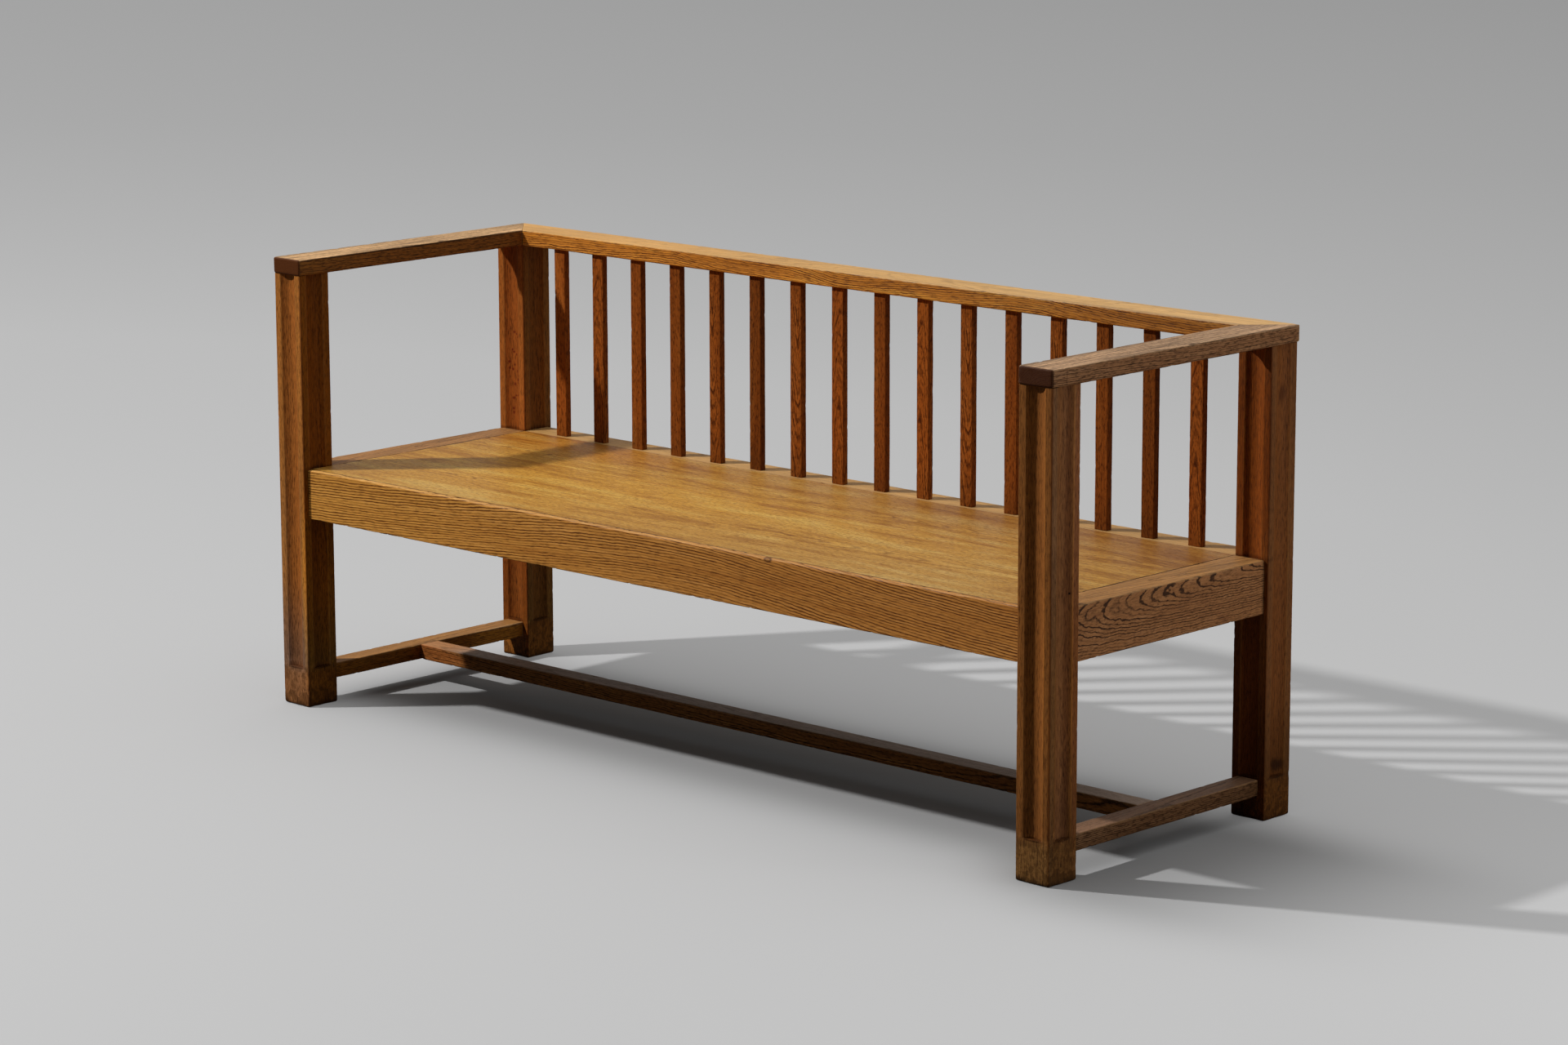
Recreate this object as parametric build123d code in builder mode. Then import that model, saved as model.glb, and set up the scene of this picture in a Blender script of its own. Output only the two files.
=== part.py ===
from build123d import *
import os

# Oak settle with four fluted legs, a mitred top frame of two arms and a back rail, sixteen
# back slats, a framed plank seat and low stretchers set in an H.
# Millimetres. X runs along the settle, the front faces -Y and Z is up. The origin is on the
# floor under the middle of the settle.

os.makedirs("parts", exist_ok=True)

# The settle as a whole, measured over the legs
settle_length = 1700
settle_depth = 572
shoulder_height = 737
seat_height = 409

# Legs: square posts with a hollow flute down each face, stopped square above the foot
leg_width = 63
leg_arris = 1
flute_width = 36
flute_depth = 7.5
flute_stop = 66
foot_chamfer = 2.5
head_tenon_width = 30
head_tenon_length = 11

# Top frame: flat boards that lie on the legs and stand a little proud of them
frame_thickness = 27
frame_overhang = 2
frame_top_round = 2
frame_under_round = 4
arm_end_round = 4.5
mitre_overrun = 20

# Loose tongues that hold the two mitres
tongue_length = 60
tongue_width = 24
tongue_thickness = 5
tongue_height = 14

# Seat rails
rail_height = 84
rail_set_in = 8
end_rail_set_in = 6
rail_arris = 1.5
front_round = 4
end_round = 2.5
rail_tenon_thickness = 16
rail_tenon_top = 24
rail_tenon_bottom = 8
mitre_gap = 0.5

# Seat panel of two boards, let into the front rail and tongued into the other rails
panel_thickness = 20
seat_lip = 8
seat_gap = 0.5
rear_board_width = 193
panel_tongue_length = 6
panel_tongue_thickness = 6
panel_tongue_height = 6

# Bearers under the seat panel
bearer_count = 3
bearer_width = 40
bearer_height = 40
bearer_tenon_width = 24
bearer_tenon_height = 22
bearer_tenon_length = 15

# Back slats
slat_count = 16
slat_width = 25
slat_thickness = 12
slat_set_in = 7
slat_end_gap = 72.5
slat_arris = 1
slat_tenon_width = 19
slat_tenon_thickness = 8
slat_foot_tenon = 14
slat_head_tenon = 12

# Stretchers
stretcher_top = 64
stretcher_height = 26
stretcher_width = 40
stretcher_arris = 2
stretcher_tenon_width = 24
stretcher_tenon_height = 14
foot_tenon_length = 30
cross_tenon_length = 22

# Clearance on each side of every tenon and tongue, and at the bottom of its mortise
joint_clearance = 0.2
mortise_bottom_gap = 0.4

# Places worked out from the sizes above
outer_x = settle_length / 2
outer_y = settle_depth / 2
leg_x = outer_x - leg_width / 2
leg_y = outer_y - leg_width / 2
inner_x = outer_x - leg_width
inner_y = outer_y - leg_width
flute_radius = (flute_width**2 / 4 + flute_depth**2) / (2 * flute_depth)
frame_width = leg_width + 2 * frame_overhang
frame_outer_x = outer_x + frame_overhang
frame_outer_y = outer_y + frame_overhang
rail_bottom = seat_height - rail_height
rail_tenon_foot = rail_bottom + rail_tenon_bottom
rail_tenon_height = rail_height - rail_tenon_top - rail_tenon_bottom
front_face_y = outer_y - rail_set_in
front_rail_thickness = front_face_y - inner_y
end_face_x = outer_x - end_rail_set_in
end_rail_thickness = end_face_x - inner_x
panel_bottom = seat_height - panel_thickness
panel_front_y = front_face_y - seat_lip - seat_gap
panel_rear_y = inner_y - seat_gap
panel_end_x = inner_x - seat_gap
board_joint_y = panel_rear_y - rear_board_width
panel_tongue_foot = panel_bottom + panel_tongue_height
bearer_pitch = 2 * inner_x / (bearer_count + 1)
bearer_middle_z = panel_bottom - bearer_height / 2
slat_pitch = (2 * (inner_x - slat_end_gap) - slat_width) / (slat_count - 1)
slat_y = inner_y + slat_set_in + slat_thickness / 2
stretcher_middle_z = stretcher_top - stretcher_height / 2
side_stretcher_inner_x = leg_x - stretcher_width / 2


def finish(piece, label):
    """Names a finished piece and writes its file."""
    piece.label = label
    export_step(piece, f"parts/{label}.step")


def twin(piece, about, label):
    """Writes the mirror image of a piece under its own name."""
    with BuildPart() as mirrored:
        mirror(piece, about=about)
    finish(mirrored.part, label)


def long_rail_tenon(side, front, half, gap):
    """Plan of a front or rear rail's tenon inside a leg, its end mitred to meet the end rail's."""
    return [
        (side * inner_x, front * (leg_y + half)),
        (side * (leg_x + half - gap), front * (leg_y + half)),
        (side * (leg_x - half - gap), front * (leg_y - half)),
        (side * inner_x, front * (leg_y - half)),
    ]


def end_rail_tenon(side, front, half, gap):
    """Plan of an end rail's tenon inside a leg, its end mitred to meet the long rail's."""
    return [
        (side * (leg_x - half), front * inner_y),
        (side * (leg_x - half), front * (leg_y - half - gap)),
        (side * (leg_x + half), front * (leg_y + half - gap)),
        (side * (leg_x + half), front * inner_y),
    ]


# Leg at the front right: the other three are its mirror images
tenon_half = rail_tenon_thickness / 2
mortise_half = tenon_half + joint_clearance

with BuildPart() as leg:
    with BuildSketch():
        with Locations((leg_x, -leg_y)):
            Rectangle(leg_width, leg_width)
    extrude(amount=shoulder_height)
    chamfer(leg.faces().sort_by(Axis.Z)[0].edges(), foot_chamfer)
    fillet(leg.edges().filter_by(Axis.Z), leg_arris)
    # Flutes, a circle's segment in plan, running out under the top frame
    with BuildSketch(Plane.XY.offset(flute_stop)):
        with Locations((leg_x, -leg_y)):
            with PolarLocations(leg_width / 2 + flute_radius - flute_depth, 4):
                Circle(flute_radius)
    extrude(amount=shoulder_height - flute_stop, mode=Mode.SUBTRACT)
    # Mortises of the two seat rails, which meet inside the leg
    with BuildSketch(Plane.XY.offset(rail_tenon_foot - joint_clearance)):
        Polygon(*long_rail_tenon(1, -1, mortise_half, 0), align=None)
        Polygon(*end_rail_tenon(1, -1, mortise_half, 0), align=None)
    extrude(amount=rail_tenon_height + 2 * joint_clearance, mode=Mode.SUBTRACT)
    # Mortise of the side stretcher, in the plain foot
    with BuildSketch(Plane.XZ.offset(inner_y)):
        with Locations((leg_x, stretcher_middle_z)):
            Rectangle(
                stretcher_tenon_width + 2 * joint_clearance,
                stretcher_tenon_height + 2 * joint_clearance,
            )
    extrude(amount=foot_tenon_length + mortise_bottom_gap, mode=Mode.SUBTRACT)
    # Head tenon that enters the top frame
    with BuildSketch(Plane.XY.offset(shoulder_height)):
        with Locations((leg_x, -leg_y)):
            Rectangle(head_tenon_width, head_tenon_width)
    extrude(amount=head_tenon_length)
finish(leg.part, "leg_front_right")
twin(leg.part, Plane.YZ, "leg_front_left")
with BuildPart() as rear_leg:
    mirror(leg.part, about=Plane.XZ)
finish(rear_leg.part, "leg_rear_right")
twin(rear_leg.part, Plane.YZ, "leg_rear_left")

# Loose tongue across the right mitre, level between the leg's tenon and the top face
with BuildPart() as tongue:
    with BuildSketch(Plane.XY.offset(shoulder_height + tongue_height)):
        with Locations(Location((leg_x, leg_y), 45)):
            Rectangle(tongue_length, tongue_width)
    extrude(amount=tongue_thickness)
finish(tongue.part, "mitre_tongue_right")
twin(tongue.part, Plane.YZ, "mitre_tongue_left")

# Arm on the right: a board rounded all round, then mitred at the back
mitre_plane = Plane(origin=(leg_x, leg_y, 0), x_dir=(1, 1, 0), z_dir=(1, -1, 0))
head_mortise = head_tenon_width + 2 * joint_clearance

with BuildPart() as arm:
    with BuildSketch(Plane.XY.offset(shoulder_height)):
        with Locations((leg_x, mitre_overrun / 2)):
            Rectangle(frame_width, 2 * frame_outer_y + mitre_overrun)
    extrude(amount=frame_thickness)
    fillet(arm.edges().filter_by(Axis.Z), arm_end_round)
    fillet(arm.faces().sort_by(Axis.Z)[-1].edges(), frame_top_round)
    fillet(arm.faces().sort_by(Axis.Z)[0].edges(), frame_under_round)
    split(bisect_by=mitre_plane, keep=Keep.TOP)
    with BuildSketch(Plane.XY.offset(shoulder_height)):
        with Locations((leg_x, -leg_y), (leg_x, leg_y)):
            Rectangle(head_mortise, head_mortise)
    extrude(amount=head_tenon_length + mortise_bottom_gap, mode=Mode.SUBTRACT)
    with BuildSketch(Plane.XY.offset(shoulder_height + tongue_height - joint_clearance)):
        with Locations(Location((leg_x, leg_y), 45)):
            Rectangle(tongue_length + 2 * mortise_bottom_gap, tongue_width + 2 * mortise_bottom_gap)
    extrude(amount=tongue_thickness + 2 * joint_clearance, mode=Mode.SUBTRACT)
finish(arm.part, "arm_right")
twin(arm.part, Plane.YZ, "arm_left")

# Back rail, mitred at both ends, with a mortise for the head of each slat
with BuildPart() as back_rail:
    with BuildSketch(Plane.XY.offset(shoulder_height)):
        with Locations((0, leg_y)):
            Rectangle(2 * (frame_outer_x + mitre_overrun), frame_width)
    extrude(amount=frame_thickness)
    fillet(back_rail.faces().sort_by(Axis.Z)[-1].edges().filter_by(Axis.X), frame_top_round)
    fillet(back_rail.faces().sort_by(Axis.Z)[0].edges().filter_by(Axis.X), frame_under_round)
    split(bisect_by=mitre_plane, keep=Keep.BOTTOM)
    split(bisect_by=Plane(origin=(-leg_x, leg_y, 0), z_dir=(1, 1, 0)), keep=Keep.TOP)
    # Head tenons of the rear legs and the loose tongues, half of each in this piece
    with BuildSketch(Plane.XY.offset(shoulder_height)):
        with Locations((leg_x, leg_y), (-leg_x, leg_y)):
            Rectangle(head_mortise, head_mortise)
    extrude(amount=head_tenon_length + mortise_bottom_gap, mode=Mode.SUBTRACT)
    with BuildSketch(Plane.XY.offset(shoulder_height + tongue_height - joint_clearance)):
        with Locations(Location((leg_x, leg_y), 45), Location((-leg_x, leg_y), -45)):
            Rectangle(tongue_length + 2 * mortise_bottom_gap, tongue_width + 2 * mortise_bottom_gap)
    extrude(amount=tongue_thickness + 2 * joint_clearance, mode=Mode.SUBTRACT)
    with BuildSketch(Plane.XY.offset(shoulder_height)):
        with Locations((0, slat_y)):
            with GridLocations(slat_pitch, 0, slat_count, 1):
                Rectangle(
                    slat_tenon_width + 2 * joint_clearance,
                    slat_tenon_thickness + 2 * joint_clearance,
                )
    extrude(amount=slat_head_tenon + mortise_bottom_gap, mode=Mode.SUBTRACT)
finish(back_rail.part, "back_rail")

# Front rail, rebated for the seat panel so that a narrow lip shows in front of it
with BuildPart() as front_rail:
    with BuildSketch(Plane.XY.offset(rail_bottom)):
        with Locations((0, -(front_face_y + inner_y) / 2)):
            Rectangle(2 * inner_x, front_rail_thickness)
    extrude(amount=rail_height)
    front_face = front_rail.faces().sort_by(Axis.Y)[0]
    fillet(front_face.edges().filter_by(Axis.Z), rail_arris)
    front_face = front_rail.faces().sort_by(Axis.Y)[0]
    fillet(front_face.edges().filter_by(Axis.X).sort_by(Axis.Z)[-1], front_round)
    front_face = front_rail.faces().sort_by(Axis.Y)[0]
    fillet(front_face.edges().filter_by(Axis.X).sort_by(Axis.Z)[0], rail_arris)
    with BuildSketch(Plane.XY.offset(panel_bottom)):
        with Locations((0, -(front_face_y - seat_lip + inner_y) / 2)):
            Rectangle(2 * inner_x, front_rail_thickness - seat_lip)
    extrude(amount=panel_thickness, mode=Mode.SUBTRACT)
    with BuildSketch(Plane.XZ.offset(inner_y)):
        with Locations((0, bearer_middle_z)):
            with GridLocations(bearer_pitch, 0, bearer_count, 1):
                Rectangle(
                    bearer_tenon_width + 2 * joint_clearance,
                    bearer_tenon_height + 2 * joint_clearance,
                )
    extrude(amount=bearer_tenon_length + mortise_bottom_gap, mode=Mode.SUBTRACT)
    with BuildSketch(Plane.XY.offset(rail_tenon_foot)):
        Polygon(*long_rail_tenon(1, -1, tenon_half, mitre_gap), align=None)
        Polygon(*long_rail_tenon(-1, -1, tenon_half, mitre_gap), align=None)
    extrude(amount=rail_tenon_height)
finish(front_rail.part, "front_rail")

# Rear rail, grooved for the seat panel and mortised for the feet of the slats
with BuildPart() as rear_rail:
    with BuildSketch(Plane.XY.offset(rail_bottom)):
        with Locations((0, (front_face_y + inner_y) / 2)):
            Rectangle(2 * inner_x, front_rail_thickness)
    extrude(amount=rail_height)
    rear_face = rear_rail.faces().sort_by(Axis.Y)[-1]
    fillet(rear_face.edges(), rail_arris)
    with BuildSketch(Plane.XY.offset(panel_tongue_foot - joint_clearance)):
        with Locations((0, inner_y + (panel_tongue_length + mortise_bottom_gap) / 2)):
            Rectangle(2 * inner_x, panel_tongue_length + mortise_bottom_gap)
    extrude(amount=panel_tongue_thickness + 2 * joint_clearance, mode=Mode.SUBTRACT)
    with BuildSketch(Plane.XY.offset(seat_height - slat_foot_tenon - mortise_bottom_gap)):
        with Locations((0, slat_y)):
            with GridLocations(slat_pitch, 0, slat_count, 1):
                Rectangle(
                    slat_tenon_width + 2 * joint_clearance,
                    slat_tenon_thickness + 2 * joint_clearance,
                )
    extrude(amount=slat_foot_tenon + mortise_bottom_gap, mode=Mode.SUBTRACT)
    with BuildSketch(Plane.XZ.offset(-inner_y)):
        with Locations((0, bearer_middle_z)):
            with GridLocations(bearer_pitch, 0, bearer_count, 1):
                Rectangle(
                    bearer_tenon_width + 2 * joint_clearance,
                    bearer_tenon_height + 2 * joint_clearance,
                )
    extrude(amount=-(bearer_tenon_length + mortise_bottom_gap), mode=Mode.SUBTRACT)
    with BuildSketch(Plane.XY.offset(rail_tenon_foot)):
        Polygon(*long_rail_tenon(1, 1, tenon_half, mitre_gap), align=None)
        Polygon(*long_rail_tenon(-1, 1, tenon_half, mitre_gap), align=None)
    extrude(amount=rail_tenon_height)
finish(rear_rail.part, "rear_rail")

# End rail on the right, grooved along its inner face for the ends of the seat boards
with BuildPart() as end_rail:
    with BuildSketch(Plane.XY.offset(rail_bottom)):
        with Locations(((end_face_x + inner_x) / 2, 0)):
            Rectangle(end_rail_thickness, 2 * inner_y)
    extrude(amount=rail_height)
    end_face = end_rail.faces().sort_by(Axis.X)[-1]
    fillet(end_face.edges().filter_by(Axis.Z), rail_arris)
    end_face = end_rail.faces().sort_by(Axis.X)[-1]
    fillet(end_face.edges().filter_by(Axis.Y).sort_by(Axis.Z)[-1], end_round)
    end_face = end_rail.faces().sort_by(Axis.X)[-1]
    fillet(end_face.edges().filter_by(Axis.Y).sort_by(Axis.Z)[0], rail_arris)
    with BuildSketch(Plane.XY.offset(panel_tongue_foot - joint_clearance)):
        with Locations((inner_x + (panel_tongue_length + mortise_bottom_gap) / 2, 0)):
            Rectangle(panel_tongue_length + mortise_bottom_gap, 2 * inner_y)
    extrude(amount=panel_tongue_thickness + 2 * joint_clearance, mode=Mode.SUBTRACT)
    with BuildSketch(Plane.XY.offset(rail_tenon_foot)):
        Polygon(*end_rail_tenon(1, -1, tenon_half, mitre_gap), align=None)
        Polygon(*end_rail_tenon(1, 1, tenon_half, mitre_gap), align=None)
    extrude(amount=rail_tenon_height)
finish(end_rail.part, "end_rail_right")
twin(end_rail.part, Plane.YZ, "end_rail_left")

# Seat board at the back, tongued at its ends and along its rear edge
tongue_reach_x = inner_x + panel_tongue_length
tongue_reach_y = inner_y + panel_tongue_length

with BuildPart() as rear_board:
    with BuildSketch(Plane.XY.offset(panel_bottom)):
        with Locations((0, (board_joint_y + panel_rear_y) / 2)):
            Rectangle(2 * panel_end_x, rear_board_width)
    extrude(amount=panel_thickness)
    with BuildSketch(Plane.XY.offset(panel_tongue_foot)):
        with Locations((0, (board_joint_y + panel_rear_y) / 2)):
            Rectangle(2 * tongue_reach_x, rear_board_width)
        with Locations((0, (board_joint_y + tongue_reach_y) / 2)):
            Rectangle(2 * panel_end_x, tongue_reach_y - board_joint_y)
    extrude(amount=panel_tongue_thickness)
finish(rear_board.part, "seat_board_rear")

# Seat board at the front, which laps the front rail's rebate and passes between the legs
end_tongue_span = board_joint_y + inner_y - seat_gap

with BuildPart() as front_board:
    with BuildSketch(Plane.XY.offset(panel_bottom)):
        with Locations((0, (board_joint_y - panel_front_y) / 2)):
            Rectangle(2 * panel_end_x, board_joint_y + panel_front_y)
    extrude(amount=panel_thickness)
    with BuildSketch(Plane.XY.offset(panel_tongue_foot)):
        with Locations((0, board_joint_y - end_tongue_span / 2)):
            Rectangle(2 * tongue_reach_x, end_tongue_span)
    extrude(amount=panel_tongue_thickness)
finish(front_board.part, "seat_board_front")

# Bearers from front rail to rear rail, flush under the seat boards
for number in range(bearer_count):
    bearer_x = (number - (bearer_count - 1) / 2) * bearer_pitch
    with BuildPart() as bearer:
        with BuildSketch(Plane.XY.offset(panel_bottom - bearer_height)):
            with Locations((bearer_x, 0)):
                Rectangle(bearer_width, 2 * inner_y)
        extrude(amount=bearer_height)
        with BuildSketch(Plane.XY.offset(bearer_middle_z - bearer_tenon_height / 2)):
            with Locations((bearer_x, 0)):
                Rectangle(bearer_tenon_width, 2 * (inner_y + bearer_tenon_length))
        extrude(amount=bearer_tenon_height)
    finish(bearer.part, f"seat_bearer_{number + 1}")

# Back slats, with a shouldered tenon at each end
for number in range(slat_count):
    slat_x = (number - (slat_count - 1) / 2) * slat_pitch
    with BuildPart() as slat:
        with BuildSketch(Plane.XY.offset(seat_height)):
            with Locations((slat_x, slat_y)):
                Rectangle(slat_width, slat_thickness)
        extrude(amount=shoulder_height - seat_height)
        fillet(slat.edges().filter_by(Axis.Z), slat_arris)
        with BuildSketch(Plane.XY.offset(seat_height - slat_foot_tenon)):
            with Locations((slat_x, slat_y)):
                Rectangle(slat_tenon_width, slat_tenon_thickness)
        extrude(amount=slat_foot_tenon + shoulder_height - seat_height + slat_head_tenon)
    finish(slat.part, f"slat_{number + 1:02d}")

# Side stretcher on the right, tenoned into both feet, mortised for the long stretcher
with BuildPart() as side_stretcher:
    with BuildSketch(Plane.XY.offset(stretcher_top - stretcher_height)):
        with Locations((leg_x, 0)):
            Rectangle(stretcher_width, 2 * inner_y)
    extrude(amount=stretcher_height)
    fillet(side_stretcher.edges().filter_by(Axis.Y), stretcher_arris)
    with BuildSketch(Plane.XY.offset(stretcher_middle_z - stretcher_tenon_height / 2)):
        with Locations((leg_x, 0)):
            Rectangle(stretcher_tenon_width, 2 * (inner_y + foot_tenon_length))
    extrude(amount=stretcher_tenon_height)
    with BuildSketch(Plane.YZ.offset(side_stretcher_inner_x)):
        with Locations((0, stretcher_middle_z)):
            Rectangle(
                stretcher_tenon_width + 2 * joint_clearance,
                stretcher_tenon_height + 2 * joint_clearance,
            )
    extrude(amount=cross_tenon_length + mortise_bottom_gap, mode=Mode.SUBTRACT)
finish(side_stretcher.part, "side_stretcher_right")
twin(side_stretcher.part, Plane.YZ, "side_stretcher_left")

# Long stretcher between the middles of the side stretchers, its top level with theirs
with BuildPart() as long_stretcher:
    with BuildSketch(Plane.XY.offset(stretcher_top - stretcher_height)):
        Rectangle(2 * side_stretcher_inner_x, stretcher_width)
    extrude(amount=stretcher_height)
    fillet(long_stretcher.edges().filter_by(Axis.X), stretcher_arris)
    with BuildSketch(Plane.XY.offset(stretcher_middle_z - stretcher_tenon_height / 2)):
        Rectangle(2 * (side_stretcher_inner_x + cross_tenon_length), stretcher_tenon_width)
    extrude(amount=stretcher_tenon_height)
finish(long_stretcher.part, "long_stretcher")
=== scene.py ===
"""Looks of an oak settle with fluted legs, a mitred top frame, back slats and a plank seat.

Metres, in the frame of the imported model: X runs along the settle, the front faces -Y, Z is up.
Every visible board, post and slat is a worn surface of its own that stands for its CAD node.
The wood is a solid pattern of year rings, so the figure follows how each board was cut.
"""

import logging
import math
from dataclasses import dataclass, replace
from enum import Enum
from typing import Any, Optional, Sequence, Union

import bpy
import numpy as np
from mathutils import Matrix, Vector

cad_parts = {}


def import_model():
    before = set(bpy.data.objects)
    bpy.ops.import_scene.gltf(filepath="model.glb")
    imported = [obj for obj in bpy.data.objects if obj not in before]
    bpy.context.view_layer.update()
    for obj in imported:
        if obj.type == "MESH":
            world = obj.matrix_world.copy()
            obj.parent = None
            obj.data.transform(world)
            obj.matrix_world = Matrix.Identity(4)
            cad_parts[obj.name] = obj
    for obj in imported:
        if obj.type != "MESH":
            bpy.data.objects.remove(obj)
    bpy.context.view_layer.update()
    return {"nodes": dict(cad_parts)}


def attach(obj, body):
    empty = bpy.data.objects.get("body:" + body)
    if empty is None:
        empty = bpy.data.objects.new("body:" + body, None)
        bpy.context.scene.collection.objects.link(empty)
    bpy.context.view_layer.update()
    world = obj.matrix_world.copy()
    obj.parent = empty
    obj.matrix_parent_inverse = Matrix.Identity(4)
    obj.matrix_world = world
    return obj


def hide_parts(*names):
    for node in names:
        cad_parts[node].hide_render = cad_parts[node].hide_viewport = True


LOG = logging.getLogger("settle")
Vec = tuple[float, float, float]
Pair = tuple[float, float]
Pieces = list[bpy.types.Object]

# Unevenness: how many waves it has, the factor of their mean, and the shortest on faces and arrises.
WAVES = 8
WAVE_GAIN = 1.8
WANDER = 0.05
# Distances from an arris are kept up to this one.
FAR = 0.02
# Rows of points beside an arris, by their distance from it: how much of a face they may take, how
# much further in the even rows begin, and the least distance of those across a board.
RIM_ROWS = (0.0015, 0.004, 0.008, 0.012)
RIM_SHARE = 0.4
RIM_CLEAR = 1.2
ACROSS_STEP = 0.006
# Dents: how fast they get rarer away from an arris, how likely they are anywhere else, their
# reach, and the least share of their depth.
DENT_FALL = 0.0015
DENT_ELSEWHERE = 0.01
DENT_REACH = (0.0012, 0.0045)
DENT_LEAST = 0.2
# From where to where a face's direction makes it count as upward, or as the right side.
UPWARD = (0.25, 0.85)
RIGHTWARD = (0.5, 0.9)
# Edges sharper than this are shaded as edges.
SHARP = math.radians(35)


class Axis(Enum):
    """The direction in which a board's length runs."""

    X = 0
    Y = 1
    Z = 2


class Side(Enum):
    """The left or right half of the settle, as seen from the front."""

    LEFT = -1
    RIGHT = 1

    @property
    def word(self) -> str:
        """The side's name as piece names spell it."""
        return self.name.lower()


class End(Enum):
    """The front or rear half of the settle."""

    FRONT = -1
    REAR = 1

    @property
    def word(self) -> str:
        """The end's name as piece names spell it."""
        return self.name.lower()


def linear(colour: str) -> Vec:
    """Turns a written colour into linear light.

    Each channel c is c / 12.92 below 0.04045 and ((c + 0.055) / 1.055) ** 2.4 above it.

    Args:
        colour: six hexadecimal digits, red first.

    Returns:
        Red, green and blue from 0 to 1.
    """
    channels = (int(colour[i : i + 2], 16) / 255 for i in (0, 2, 4))
    return tuple(c / 12.92 if c <= 0.04045 else ((c + 0.055) / 1.055) ** 2.4 for c in channels)


def lift(colour: str, gain: float) -> str:
    """Makes a written colour brighter or darker.

    Args:
        colour: six hexadecimal digits.
        gain: factor of the linear light.

    Returns:
        Six hexadecimal digits.
    """
    light = (min(c * gain, 1.0) for c in linear(colour))
    written = (c * 12.92 if c <= 0.0031308 else 1.055 * c ** (1 / 2.4) - 0.055 for c in light)
    return "".join(f"{round(c * 255):02X}" for c in written)


# Node sheets


class Reading:
    """A node's output that can be used in Python expressions, each of which adds its node."""

    def __init__(self, sheet: "Sheet", socket: bpy.types.NodeSocket) -> None:
        """Wraps a socket of a sheet."""
        self.sheet = sheet
        self.socket = socket

    @property
    def wide(self) -> bool:
        """Whether the socket carries a vector or a colour."""
        return self.socket.type in ("VECTOR", "RGBA")

    def _with(self, operation: str, other: "Value", flipped: bool = False) -> "Reading":
        """Adds the Math node, or the Vector Math node, of one operation.

        Args:
            operation: the node's operation.
            other: the other operand.
            flipped: whether the other operand comes first.

        Returns:
            The result.
        """
        wide = self.wide or isinstance(other, tuple) or (isinstance(other, Reading) and other.wide)
        first, second = (other, self) if flipped else (self, other)
        kind = "ShaderNodeVectorMath" if wide else "ShaderNodeMath"
        return self.sheet.add(kind, {"operation": operation}, {0: first, 1: second})

    def __add__(self, other: "Value") -> "Reading":
        """Sum."""
        return self._with("ADD", other)

    __radd__ = __add__

    def __sub__(self, other: "Value") -> "Reading":
        """Difference."""
        return self._with("SUBTRACT", other)

    def __rsub__(self, other: "Value") -> "Reading":
        """Difference with the operands the other way round."""
        return self._with("SUBTRACT", other, flipped=True)

    def __mul__(self, other: "Value") -> "Reading":
        """Product."""
        return self._with("MULTIPLY", other)

    __rmul__ = __mul__

    def __pow__(self, other: float) -> "Reading":
        """Power."""
        return self._with("POWER", other)

    def apply(self, operation: str) -> "Reading":
        """The Math node of an operation with one operand, such as FRACT."""
        return self.sheet.add("ShaderNodeMath", {"operation": operation}, {0: self})

    def above(self, limit: float) -> "Reading":
        """How far the number lies above a limit, or 0."""
        return (self - limit)._with("MAXIMUM", 0.0)

    def parts(self) -> tuple["Reading", "Reading", "Reading"]:
        """The three numbers of a vector."""
        node = self.sheet.node("ShaderNodeSeparateXYZ", {}, {0: self})
        return tuple(Reading(self.sheet, node.outputs[i]) for i in range(3))

    def length(self) -> "Reading":
        """The length of a vector."""
        return self.sheet.add("ShaderNodeVectorMath", {"operation": "LENGTH"}, {0: self}, "Value")


Value = Union[Reading, float, tuple]


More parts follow.
